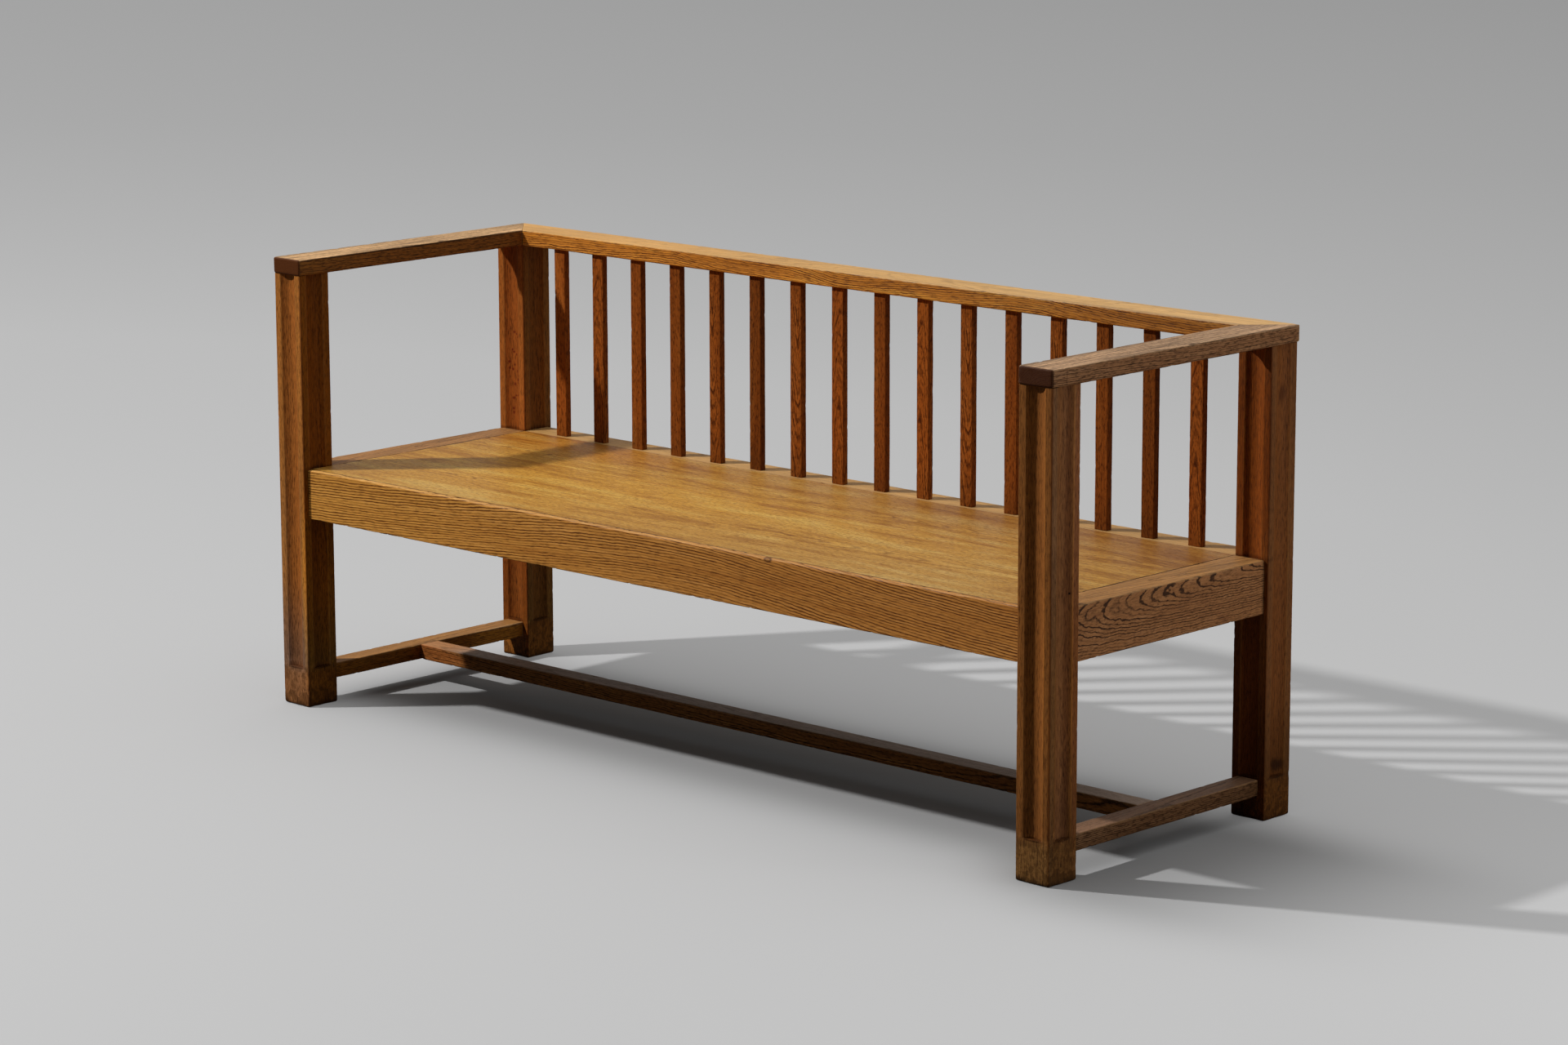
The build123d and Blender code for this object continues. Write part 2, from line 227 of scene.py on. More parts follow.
class Sheet:
    """The node tree of a material, the world or a lamp, to which nodes are added by type."""

    def __init__(self, owner: Any) -> None:
        """Empties the owner's node tree.

        Args:
            owner: a material, a world or a lamp.
        """
        owner.use_nodes = True
        self.tree = owner.node_tree
        self.tree.nodes.clear()

    def node(self, kind: str, settings: dict[str, Any], inputs: dict[Any, Value]) -> bpy.types.Node:
        """Adds a node.

        Args:
            kind: the node's type.
            settings: its properties, or "stops", a ramp's places and colours, set first.
            inputs: values or links of its sockets, by name or number.

        Returns:
            The node.
        """
        made = self.tree.nodes.new(kind)
        for key, value in settings.items():
            if key == "stops":
                ramp = made.color_ramp
                while len(ramp.elements) < len(value):
                    ramp.elements.new(1.0)
                for element, (place, colour) in zip(ramp.elements, value):
                    element.position = place
                    element.color = (*colour, 1.0)
            else:
                setattr(made, key, value)
        for key, value in inputs.items():
            socket = made.inputs[key]
            if isinstance(value, Reading):
                self.tree.links.new(value.socket, socket)
            elif socket.type == "RGBA" and isinstance(value, tuple):
                socket.default_value = (*value[:3], 1.0)
            elif socket.type == "VECTOR" and not isinstance(value, tuple):
                socket.default_value = (value,) * 3
            else:
                socket.default_value = value
        return made

    def add(self, kind: str, settings: dict[str, Any], inputs: dict[Any, Value], out: Any = 0) -> Reading:
        """Adds a node and gives one of its outputs.

        Args:
            kind: the node's type.
            settings: its properties.
            inputs: values or links of its sockets.
            out: name or number of the output.

        Returns:
            That output.
        """
        return Reading(self, self.node(kind, settings, inputs).outputs[out])

    def place(self) -> Reading:
        """Object coordinates, which are the settle's own."""
        return self.add("ShaderNodeTexCoord", {}, {}, "Object")

    def mark(self, word: str) -> Reading:
        """A number that the surface keeps at each of its points, by name."""
        return self.add("ShaderNodeAttribute", {"attribute_name": word}, {}, "Fac")

    def seen(self) -> Reading:
        """1 for what the camera itself sees, and 0 for what only throws light."""
        return self.add("ShaderNodeLightPath", {}, {}, "Is Camera Ray")

    def noise(self, at: Reading, detail: float, rough: float = 0.5, colour: bool = False) -> Reading:
        """Smooth noise, one cell per unit of the coordinates.

        Args:
            at: where it is read.
            detail: how many finer octaves it has.
            rough: how strong each octave is against the one before.
            colour: whether three noises come as one vector.

        Returns:
            A number, or three, near 0.5.
        """
        inputs = {"Vector": at, "Scale": 1.0, "Detail": detail, "Roughness": rough}
        return self.add("ShaderNodeTexNoise", {}, inputs, 1 if colour else 0)

    def step(self, value: Reading, low: float, high: float) -> Reading:
        """A smooth rise from 0 where the value is low to 1 where it is high."""
        inputs = {"Value": value, "From Min": low, "From Max": high}
        return self.add("ShaderNodeMapRange", {"interpolation_type": "SMOOTHSTEP"}, inputs)

    def mix(self, share: Value, first: Value, second: Value, blend: str = "MIX") -> Reading:
        """Mixes two colours.

        Args:
            share: how much of the second colour there is.
            first: the first colour.
            second: the second colour.
            blend: the Mix node's blend type.

        Returns:
            The mixed colour.
        """
        settings = {"data_type": "RGBA", "blend_type": blend}
        return self.add("ShaderNodeMix", settings, {0: share, 6: first, 7: second}, 2)


# Wood


@dataclass(frozen=True)
class Bend:
    """A place along the tree where its rings stand off to one side.

    The shift is a bell curve of the distance from the place.
    """

    at: float
    reach: float
    shift: Pair


@dataclass(frozen=True)
class Figure:
    """How a board was cut from its tree.

    The rings are circles round the pith, a line through a point, turned from the X axis. A
    ring is as wide as ring says. The rings wander slowly by sway and quickly by quiver, with
    pace and across cells of quick noise per metre along and across the tree, and calm the same
    for the slow noise. Their count wanders by drift. Bends push them to one side.
    """

    pith: Vec
    turn: Vec = (0.0, 0.0, 0.0)
    ring: float = 0.0035
    sway: float = 0.010
    quiver: float = 0.0022
    pace: float = 14.0
    across: float = 45.0
    calm: Pair = (1.7, 7.0)
    drift: float = 1.5
    bends: tuple[Bend, ...] = ()


@dataclass(frozen=True)
class Stain:
    """A soft-edged ellipsoid of another colour, such as a knot, a nail or a worn place."""

    centre: Vec
    size: Vec
    colour: str
    strength: float = 1.0
    soft: float = 0.5
    ragged: float = 0.0

    def lay(self, sheet: Sheet, place: Reading, rubbed: Reading, colour: Reading) -> Reading:
        """Lays the stain over a colour.

        Args:
            sheet: the material's sheet.
            place: object coordinates.
            rubbed: noise that makes the rim ragged.
            colour: the colour so far.

        Returns:
            The colour with the stain.
        """
        reach = ((place - self.centre) * tuple(1 / s for s in self.size)).length()
        if self.ragged:
            reach = reach + (rubbed - 0.5) * self.ragged
        share = (1.0 - sheet.step(reach, 1.0 - self.soft, 1.0 + self.soft)) * self.strength
        return self.paint(sheet, share, colour)

    def paint(self, sheet: Sheet, share: Reading, colour: Reading) -> Reading:
        """Mixes the stain's colour in by its share."""
        return sheet.mix(share, colour, linear(self.colour))


@dataclass(frozen=True)
class Tint(Stain):
    """A soft-edged ellipsoid that multiplies the wood's colour and keeps its grain."""

    colour: str = ""
    gain: Vec = (1.0, 1.0, 1.0)
    soft: float = 0.9

    def paint(self, sheet: Sheet, share: Reading, colour: Reading) -> Reading:
        """Multiplies by the gain, by the tint's share."""
        return sheet.mix(share, colour, self.gain, "MULTIPLY")


def stretch(scale: Pair) -> Vec:
    """Cells of noise per metre on the three axes, from those along and across the tree."""
    return scale[0], scale[1], scale[1]


@dataclass(frozen=True)
class OakFinish:
    """Oak under old wax: the tones of the wood, the stain in its pores and its worn arrises.

    Upward faces take the top tone, where there is one, and keep a share of their lines; the top
    tone is partly the wood's colour there and partly a painted greyish sheen. gains multiply the
    colour where one of the surface's marks is 1. fibre, fleck, pore and cloud are cells of noise per
    metre along and across the tree, and rag is the same for the rubbed arris.
    A range is where a smooth rise from 0 to 1 starts and ends. line_by gives the factor and the
    least of a line's strength by fleck, cloud and ring, and heights are those of fibre, fleck,
    pore and line in the relief.
    """

    deep: str
    body: str
    pale: str
    line: str
    worn: str
    top: Optional[str] = None
    top_lines: float = 0.4
    top_tone: float = 0.4
    gains: tuple[tuple[str, Vec], ...] = ()
    lines: float = 0.8
    line_range: Pair = (0.2, 0.34)
    line_end: float = 0.42
    line_width: float = 0.35
    line_by: tuple[Pair, Pair, Pair] = ((0.5, 0.6), (1.4, 0.3), (1.3, 0.3))
    fibre: Pair = (5.0, 210.0)
    flecks: float = 0.4
    fleck: Pair = (65.0, 420.0)
    fleck_range: Pair = (0.46, 0.66)
    pores: float = 0.3
    pore: Pair = (60.0, 1300.0)
    pore_range: Pair = (0.5, 0.66)
    cloud: Pair = (3.0, 28.0)
    tone: float = 2.4
    blotch: float = 2.0
    body_range: Pair = (-0.1, 0.5)
    pale_range: Pair = (0.5, 1.1)
    wear: float = 0.6
    wear_width: float = 0.004
    rag: float = 90.0
    raggedness: float = 2.2
    rough: float = 0.5
    rough_pore: float = 0.15
    rough_fibre: float = 0.25
    shine: float = 0.15
    relief: float = 0.55
    bump: float = 0.0004
    heights: tuple[float, float, float, float] = (0.6, -0.3, -0.3, -0.35)

    def dress(self, name: str, figure: Figure, stains: Sequence[Stain] = ()) -> bpy.types.Material:
        """Makes the material of one board.

        The distance from the pith, bent by bells and by slow and quick noise, is divided by
        the ring's width. Its whole part numbers the ring and its rest runs through it. Each
        ring has a dark line of open pores, sharp on one side and fading on the other, whose
        strength is drawn for each ring. Fibres and slow clouds mix the deep, body and pale tone.

        Args:
            name: the material's name.
            figure: how the board was cut.
            stains: places of another colour.

        Returns:
            The material.
        """
        material = bpy.data.materials.new(name)
        sheet = Sheet(material)
        place = sheet.place()
        grain = sheet.add(
            "ShaderNodeMapping",
            {"vector_type": "TEXTURE"},
            {"Vector": place, "Location": figure.pith, "Rotation": figure.turn},
        )
        line, chance = self._rings(sheet, grain, figure)
        fibre = sheet.noise(grain * stretch(self.fibre), 5.0, 0.7)
        fleck = sheet.step(sheet.noise(grain * stretch(self.fleck), 2.0, 0.6), *self.fleck_range)
        pore = sheet.step(sheet.noise(grain * stretch(self.pore), 1.0), *self.pore_range)
        cloud = sheet.noise(grain * stretch(self.cloud), 3.0, 0.6)
        tone = (fibre - 0.5) * self.tone + (cloud - 0.5) * self.blotch + 0.5
        colour = sheet.mix(sheet.step(tone, *self.body_range), linear(self.deep), linear(self.body))
        colour = sheet.mix(sheet.step(tone, *self.pale_range), colour, linear(self.pale))
        kept: Value = 1.0
        if self.top:
            up = sheet.mark("up")
            bright = (tone - 0.5) * self.top_tone + 1.0
            topped = sheet.mix(1.0, linear(self.top), bright, "MULTIPLY")
            colour = sheet.mix(up, colour, topped)
            kept = 1.0 - up * (1.0 - self.top_lines)
        share = line
        for reading, (factor, least) in zip((fleck, cloud, chance), self.line_by):
            share = share * (reading * factor + least)
        colour = sheet.mix(share * (kept * self.lines), colour, linear(self.line))
        grit = (fleck * self.flecks + pore * self.pores) * kept
        colour = sheet.mix(grit, colour, linear(self.line))
        for word, gain in self.gains:
            colour = sheet.mix(sheet.mark(word), colour, gain, "MULTIPLY")

        rubbed = sheet.noise(place * self.rag, 3.0, 0.6)
        edge = sheet.mark("edge") * (1 / self.wear_width) + (rubbed - 0.5) * self.raggedness
        rub = 1.0 - sheet.step(edge, 0.0, 1.0)
        colour = sheet.mix(rub * self.wear, colour, linear(self.worn))
        for stain in stains:
            colour = stain.lay(sheet, place, rubbed, colour)

        rough = pore * self.rough_pore + (fibre - 0.5) * self.rough_fibre + self.rough
        height = fibre * self.heights[0]
        for reading, high in zip((fleck, pore, line), self.heights[1:]):
            height = height + reading * high
        bump = {"Height": height, "Distance": self.bump, "Strength": self.relief}
        normal = sheet.add("ShaderNodeBump", {}, bump)
        shader = sheet.add(
            "ShaderNodeBsdfPrincipled",
            {},
            {"Base Color": colour, "Roughness": rough, "Normal": normal, "Specular IOR Level": self.shine},
        )
        sheet.node("ShaderNodeOutputMaterial", {}, {"Surface": shader})
        return material

    def cover(
        self, skin: "Skin", node: str, slot: str, figure: Figure, stains: Sequence[Stain] = ()
    ) -> bpy.types.Object:
        """Shows a surface in this finish, in the place of a CAD node.

        Args:
            skin: the surface.
            node: the CAD node, which names the piece and its material.
            slot: the record's material slot.
            figure: how the board was cut.
            stains: places of another colour.

        Returns:
            The piece.
        """
        return skin.show(f"{node}_worn", self.dress(node, figure, stains), node, slot)

    def _rings(self, sheet: Sheet, grain: Reading, figure: Figure) -> tuple[Reading, Reading]:
        """Works out the year rings.

        Args:
            sheet: the material's sheet.
            grain: coordinates along and across the tree.
            figure: how the board was cut.

        Returns:
            The line's strength through the ring, and the ring's own random number.
        """
        slow = sheet.noise(grain * stretch(figure.calm), 1.0, colour=True) - 0.5
        quick = sheet.noise(grain * stretch((figure.pace, figure.across)), 3.0, 0.6, colour=True) - 0.5
        along, across, deepness = grain.parts()
        slow_x, slow_y, slow_z = slow.parts()
        quick_x, quick_y, _ = quick.parts()
        across = across + slow_x * (2 * figure.sway) + quick_x * (2 * figure.quiver)
        deepness = deepness + slow_y * (2 * figure.sway) + quick_y * (2 * figure.quiver)
        for bend in figure.bends:
            bell = (((along - bend.at) * (1 / bend.reach)) ** 2.0 * -1.0).apply("EXPONENT")
            across = across + bell * bend.shift[0]
            deepness = deepness + bell * bend.shift[1]
        radius = (across * across + deepness * deepness) ** 0.5
        rings = radius * (1 / figure.ring) + slow_z * figure.drift
        number, through = rings.apply("FLOOR"), rings.apply("FRACT")
        chance = sheet.add("ShaderNodeTexWhiteNoise", {"noise_dimensions": "1D"}, {"W": number})
        fading = sheet.step(through, self.line_end, self.line_end + self.line_width)
        return sheet.step(through, *self.line_range) * (1.0 - fading), chance


# Surfaces


def waves(points: np.ndarray, seed: int, size: float) -> np.ndarray:
    """Smooth unevenness, a mean of sine waves of seeded directions, lengths and phases.

    Args:
        points: rows of x, y and z.
        seed: which set of waves.
        size: length of the shortest wave.

    Returns:
        One number from about -1 to 1 for each point.
    """
    rng = np.random.default_rng(seed)
    direction = rng.normal(size=(WAVES, 3))
    direction /= np.linalg.norm(direction, axis=1, keepdims=True)
    direction *= 2 * math.pi / (size * rng.uniform(1.0, 3.0, size=(WAVES, 1)))
    return np.sin(points @ direction.T + rng.uniform(0, 2 * math.pi, WAVES)).mean(axis=1) * WAVE_GAIN


def rise(values: np.ndarray, low: float, high: float) -> np.ndarray:
    """A straight rise from 0 where the values are low to 1 where they are high."""
    return np.clip((values - low) / (high - low), 0, 1)


@dataclass
class Skin:
    """A closed surface: points, faces, outward directions and distances from the nearest arris.

    The rim is the distance from the nearest arris that hands and clothes rub. Marks are further
    numbers by name: right is 1 on the side that faces the settle's right end, and hollow is 1
    in a flute.
    """

    points: np.ndarray
    faces: list[list[int]]
    outward: np.ndarray
    edge: np.ndarray
    rim: np.ndarray
    marks: dict[str, np.ndarray]

    def weather(self, seed: int, dents: int, depth: float, sag: float = 0.00012) -> "Skin":
        """Lowers the surface by slow waves and by dents, which lie mostly on the arrises.

        A dent lowers a point by its depth times a bell curve of the distance from its middle.

        Args:
            seed: which dents.
            dents: how many.
            depth: depth of the deepest.
            sag: height of the waves.

        Returns:
            The skin itself.
        """
        rng = np.random.default_rng(seed)
        low = sag * np.maximum(1 + waves(self.points, seed, WANDER), 0) / 2
        weight = np.exp(-self.edge / DENT_FALL) + DENT_ELSEWHERE
        middles = rng.choice(len(self.points), dents, p=weight / weight.sum())
        radius = rng.uniform(*DENT_REACH, dents)
        depths = depth * rng.uniform(DENT_LEAST, 1.0, dents) ** 2
        for middle, reach, drop in zip(self.points[middles], radius, depths):
            away = ((self.points - middle) ** 2).sum(axis=1)
            low = low + drop * np.exp(-away / reach**2)
        self.points = self.points - self.outward * low[:, None]
        return self

    def show(self, name: str, material: bpy.types.Material, node: str, slot: str) -> bpy.types.Object:
        """Makes the object, which rides on the root and stands for a CAD node.

        Args:
            name: the object's name.
            material: its finish.
            node: the CAD node that it stands for.
            slot: the record's material slot, which is not used.

        Returns:
            The object.
        """
        mesh = bpy.data.meshes.new(name)
        mesh.from_pydata(self.points.tolist(), [], self.faces)
        up = rise(self.outward[:, 2], *UPWARD)
        for word, values in (("edge", self.rim), ("up", up), *self.marks.items()):
            mesh.attributes.new(word, "FLOAT", "POINT").data.foreach_set("value", values.astype(np.float32))
        mesh.polygons.foreach_set("use_smooth", np.ones(len(mesh.polygons), bool))
        mesh.set_sharp_from_angle(angle=SHARP)
        mesh.materials.append(material)
        made = bpy.data.objects.new(name, mesh)
        bpy.context.scene.collection.objects.link(made)
        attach(made, "root")
        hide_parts(node)
        return made


@dataclass(frozen=True)
class Board:
    """A straight board with rounded arrises, given by its box.

    Of the two axes across its length, the first comes first in X, Y, Z order. rounds are the
    radii of the arrises at low-low, high-low, low-high and high-high of these two axes, and
    ends the roundings of the two ends.
    """

    low: Vec
    high: Vec
    length_axis: Axis
    rounds: tuple[float, float, float, float]
    ends: Pair = (0.0005, 0.0005)
    step: float = 0.005
    seed: int = 1
    uneven: float = 0.35

    def _rows(self, axis: int, margin: float) -> tuple[np.ndarray, np.ndarray, np.ndarray]:
        """Rows of points along one axis: four through each rounding and the rest between.

        Args:
            axis: 0, 1 or 2.
            margin: room that the rounding takes at each end.

        Returns:
            How far each row lies out in the rounding, from 1 at the face to 0; its side, -1,
            0 or 1; and its share of the length between the roundings.
        """
        turn = np.tan(np.radians([45.0, 33.75, 22.5, 11.25, 0.0]))
        flat = self.high[axis] - self.low[axis] - 2 * margin
        step = self.step if axis == self.length_axis.value else max(self.step, ACROSS_STEP)
        rim = np.array([m for m in RIM_ROWS if m < flat * RIM_SHARE])
        inner = np.linspace(0, 1, max(2, int(round(flat / step)) + 1))
        clear = RIM_CLEAR * rim[-1] / flat if len(rim) else 0.0
        inner = inner[(inner > clear) & (inner < 1 - clear)]
        share = np.concatenate([[0.0], rim / flat, inner, 1 - rim[::-1] / flat, [1.0]])
        out = np.concatenate([turn[:-1], np.zeros(len(share)), turn[-2::-1]])
        side = np.concatenate([-np.ones(5), np.zeros(len(share) - 2), np.ones(5)])
        share = np.concatenate([np.zeros(4), share, np.ones(4)])
        return out, side, share

    def skin(self) -> Skin:
        """Works out the surface.

        Every point starts on a lattice over the box. Out of the flat part it goes to the
        inner box's corner plus the rounding times the unit vector of how far out it lies on
        each axis. The rounding of an arris wanders along the board.

        Returns:
            The closed surface.
        """
        long = self.length_axis.value
        first, second = [a for a in range(3) if a != long]
        low, high = np.array(self.low), np.array(self.high)
        rows = [self._rows(a, max(self.ends) if a == long else max(self.rounds)) for a in range(3)]
        counts = [len(r[0]) for r in rows]
        strides = (counts[1] * counts[2], counts[2], 1)
        quads = []
        for axis in range(3):
            p, q = (axis + 1) % 3, (axis + 2) % 3
            i, j = np.meshgrid(np.arange(counts[p] - 1), np.arange(counts[q] - 1), indexing="ij")
            start = (i * strides[p] + j * strides[q]).ravel()[:, None]
            ring = np.array([0, strides[p], strides[p] + strides[q], strides[q]])
            quads += [start + ring[::-1], start + ring + (counts[axis] - 1) * strides[axis]]
        used, faces = np.unique(np.concatenate(quads), return_inverse=True)
        faces = faces.reshape(-1, 4)
        spots = np.unravel_index(used, counts)
        out, side, share = (np.stack([rows[a][k][spots[a]] for a in range(3)], axis=1) for k in range(3))

        line = np.zeros_like(share)
        line[:, long] = (low + share * (high - low))[:, long]
        f, s = share[:, first], share[:, second]
        radius = np.zeros(len(used))
        for corner, near in enumerate(((1 - f) * (1 - s), f * (1 - s), (1 - f) * s, f * s)):
            wander = 1 + self.uneven * waves(line, self.seed * 7 + corner, WANDER)
            radius += near * self.rounds[corner] * wander
        bend = np.zeros_like(out)
        bend[:, first] = bend[:, second] = radius
        bend[:, long] = np.where(share[:, long] < 0.5, self.ends[0], self.ends[1])
        inner_low, inner_high = low + bend, high - bend
        outward = out * side
        outward = outward / np.linalg.norm(outward, axis=1, keepdims=True)
        points = inner_low + share * (inner_high - inner_low) + bend * outward
        apart = np.minimum(points - low, high - points)
        edge = np.clip(np.sort(apart, axis=1)[:, 1], 0, FAR)
        apart[:, 2] = high[2] - points[:, 2]
        rim = np.clip(np.sort(apart, axis=1)[:, 1], 0, FAR)
        marks = {"right": rise(outward[:, 0], *RIGHTWARD)}
        return Skin(points, faces.tolist(), outward, edge, rim, marks)


def four_faces(out: np.ndarray, along: np.ndarray, z: float) -> np.ndarray:
    """Turns one face of a square section by each of the four quarter turns.

    Args:
        out: distances out from the middle.
        along: distances along the face.
        z: the third number of each row.

    Returns:
        Rows of x, y and z, face after face.
    """
    turn = np.arange(4)[:, None] * math.pi / 2
    x = out * np.cos(turn) - along * np.sin(turn)
    y = out * np.sin(turn) + along * np.cos(turn)
    return np.stack([x.ravel(), y.ravel(), np.full(x.size, z)], axis=1)


@dataclass(frozen=True)
class Post:
    """A square post with a hollow flute down each face, stopped above its foot.

    rows are the points across half a face, closest together at the flute's arris, and stop_rows
    the heights of points round the flute's stop. The wanders are by how much, and in waves of
    what length, the flute's arris and the foot's rounding vary. shaded is the depth from which
    a point counts as hollow.
    """

    centre: Pair
    half: float = 0.0315
    height: float = 0.737
    arris: float = 0.001
    flute_half: float = 0.018
    flute_depth: float = 0.0075
    flute_soft: float = 0.0007
    flute_stop: float = 0.066
    flute_wander: Pair = (0.8, 0.06)
    foot_round: float = 0.003
    foot_wander: Pair = (0.45, 0.02)
    shaded: float = 0.0012
    step: float = 0.005
    stop_rows: tuple[float, ...] = (-0.001, 0.0, 0.0005, 0.0025)
    rows: tuple[float, ...] = (
        0.0, 0.0035, 0.007, 0.0105, 0.0135, 0.0158, 0.017, 0.0177, 0.0183, 0.019, 0.0202, 0.0235, 0.0275,
    )
    seed: int = 1

    def skin(self) -> Skin:
        """Works out the surface, a section carried up the post.

        A flute's depth at a distance s from the face's middle is the root of R squared less
        s squared, less R less d, where R is the circle's radius and d the flute's depth. It
        goes over into the land along a hyperbola, so that the arris is a little soft. Below
        the stop the section is a plain square, which the foot's rounding draws in.

        Returns:
            The closed surface.
        """
        radius = (self.flute_half**2 + self.flute_depth**2) / (2 * self.flute_depth)
        flat, stop = self.half - self.arris, self.flute_stop
        rows = np.array(self.rows)
        face = np.concatenate([[-flat], -rows[:0:-1], rows, [flat]])
        turn = np.radians([22.5, 45.0, 67.5])
        along = np.concatenate([face, flat + self.arris * np.sin(turn)])
        out = np.concatenate([np.full(len(face), self.half), flat + self.arris * np.cos(turn)])
        on_face = np.arange(len(along)) < len(face)
        none = np.zeros(len(face))
        corner_out, corner_along = (np.concatenate([none, f(turn)]) for f in (np.cos, np.sin))
        heights = np.concatenate(
            [
                self.foot_round * (1 - np.cos(np.radians([0, 22.5, 45, 67.5, 90]))),
                np.arange(self.foot_round + 0.003, stop - 0.002, self.step),
                [stop + row for row in self.stop_rows],
                np.arange(stop + 0.006, self.height - 0.003, self.step),
                [self.height],
            ]
        )
        (arris_share, arris_wave), (foot_share, foot_wave) = self.flute_wander, self.foot_wander
        rings, outward, edges, hollows = [], [], [], []
        for z in heights:
            cut = z > stop
            line = np.stack([np.sign(along) * 0.05, np.zeros(len(along)), np.full(len(along), z)], axis=1)
            soft = self.flute_soft * (1 + arris_share * waves(line, self.seed, arris_wave))
            arc = np.sqrt(np.maximum(radius**2 - along**2, 1e-9)) - (radius - self.flute_depth)
            depth = 0.5 * (arc + np.sqrt(arc**2 + soft**2)) * on_face * cut
            ring = four_faces(out - depth, along, z)
            level = ring * (1, 1, 0)
            rounding = self.foot_round * (1 + foot_share * waves(level, self.seed + 3, foot_wave))
            below = np.clip(rounding - z, 0, rounding)
            drawn = rounding - np.sqrt(np.maximum(rounding**2 - below**2, 0))
            ring[:, :2] *= 1 - (drawn / self.half)[:, None]
            rings.append(ring)
            slope = np.where(np.abs(along) < self.flute_half, -along / radius, 0) * cut
            facing = np.where(on_face, np.sqrt(1 - slope**2), corner_out)
            outward.append(four_faces(facing, np.where(on_face, slope, corner_along), 0.0))
            near = np.minimum(self.half - np.abs(along), z)
            if cut:
                near = np.minimum(near, np.abs(np.abs(along) - self.flute_half))
            edges.append(np.tile(near * on_face, 4))
            hollows.append(np.tile(rise(depth, 0.0, self.shaded), 4))
        count = len(rings[0])
        points = np.concatenate(rings) + (*self.centre, 0.0)
        row, spot = np.meshgrid(np.arange(len(heights) - 1), np.arange(count), indexing="ij")
        here, there = row * count + spot, row * count + (spot + 1) % count
        faces = np.stack([here, there, there + count, here + count], axis=-1).reshape(-1, 4).tolist()
        faces.append(list(range(count))[::-1])
        faces.append(list(range(len(points) - count, len(points))))
        edge = np.clip(np.concatenate(edges), 0, FAR)
        right = np.tile(np.repeat([1.0, 0.0, 0.0, 0.0], len(along)), len(heights))
        marks = {"right": right, "hollow": np.concatenate(hollows)}
        return Skin(points, faces, np.concatenate(outward), edge, edge, marks)


# Finishes

SEAT = OakFinish(
    deep="A6712A", body="C7933F", pale="D4A957", line="6A3A10", worn="DDB478",
    lines=0.55, line_width=0.3, fibre=(18.0, 210.0), fleck=(110.0, 420.0), pores=0.2,
    tone=1.8, blotch=3.6, wear=0.0, rough=0.42, relief=0.33,
)
FRONT = OakFinish(
    deep="C78235", body="E09B45", pale="F1AD57", line="693911", worn="DDB068", top="CD964E",
    lines=1.35, line_width=0.3, flecks=0.25, pores=0.15, blotch=1.4, wear=0.7, wear_width=0.002,
)
# The end rails' greyer, bluer tones are partly the wood's colour and partly a painted bluish sheen on the
# right end's outer face.
END = OakFinish(
    deep="9D663D", body="B77C4B", pale="C88D5C", line="452915", worn="B89468", top="A87844",
    top_tone=0.9, lines=1.4, line_width=0.24, flecks=0.35, fleck=(90.0, 420.0), blotch=1.4,
    wear=0.3, wear_width=0.003,
)
REAR = OakFinish(
    deep="743A16", body="8A4A20", pale="9C5C2C", line="3C1C0A", worn="B08A5E", top="C29458",
    lines=0.6, flecks=0.3, wear=0.2, wear_width=0.003,
)
BACK = OakFinish(
    deep="B9752A", body="D58B36", pale="E4A245", line="54260A", worn="E6C084", top="DDAE70",
    top_lines=0.15, lines=1.6, line_width=0.25, pores=0.2, wear=0.4, wear_width=0.003, rough=0.42,
)
# The arm's greyer, bluer tones are partly the wood's colour and partly a painted bluish sheen on the right
# arm's outer side.
ARM = OakFinish(
    deep="94623F", body="AC784E", pale="BD8D64", line="3E2614", worn="BC9C78", top="BD9671",
    top_lines=0.7, top_tone=1.3, lines=1.0, flecks=0.55, fleck=(90.0, 420.0), blotch=1.8,
    wear=0.3, shine=0.1,
)
LEG = OakFinish(
    deep="743C12", body="8C4E1E", pale="A0622A", line="46220A", worn="AA7038",
    lines=0.3, line_width=0.2, fibre=(7.0, 480.0), flecks=0.55, fleck=(90.0, 750.0), pores=0.35,
    tone=2.16, blotch=1.4, wear=0.35, wear_width=0.002, shine=0.08,
)
SLAT = OakFinish(
    deep="773811", body="8B4917", pale="9D5C25", line="401A04", worn="9C6028",
    lines=0.3, flecks=0.6, fleck=(120.0, 420.0), tone=1.44, blotch=1.6,
    wear=0.2, wear_width=0.0015, shine=0.05,
)
STRETCHER = OakFinish(
    deep="8A5426", body="9E6632", pale="B47A40", line="2E1806", worn="94704A", top="AE9480",
    lines=0.9, fleck=(100.0, 420.0), wear=0.4, shine=0.08,
)
LEFT_STRETCHER = replace(STRETCHER, deep="864C12", body="9C5C18", pale="AE6E24", top="A2713E")
# Partly the wood's colour and partly a painted bluish sheen on the right stretcher's outer face.
RIGHT_STRETCHER = replace(
    STRETCHER, deep="644429", body="785335", pale="8B6544", top="836148", lines=1.2, flecks=0.6
)
INNER = OakFinish(
    deep="8A6A44", body="9C7C54", pale="B09068", line="5A4028", worn="B09068", wear=0.0, rough=0.7
)


# Sub-assemblies


@dataclass(frozen=True)
class LegLook:
    """One leg's tone, the gains of its flutes, right side, lower half and foot, and its marks."""

    end: End
    side: Side
    body: str
    # Besides the wood's tone, the hollow gains partly paint shade into the flutes of the left legs. The
    # right gains partly paint a bluish sheen on the right legs and shade on the front left leg's inner face.
    hollow: Vec
    right: Vec
    lower: Vec
    foot: Vec
    marks: tuple[Stain, ...] = ()


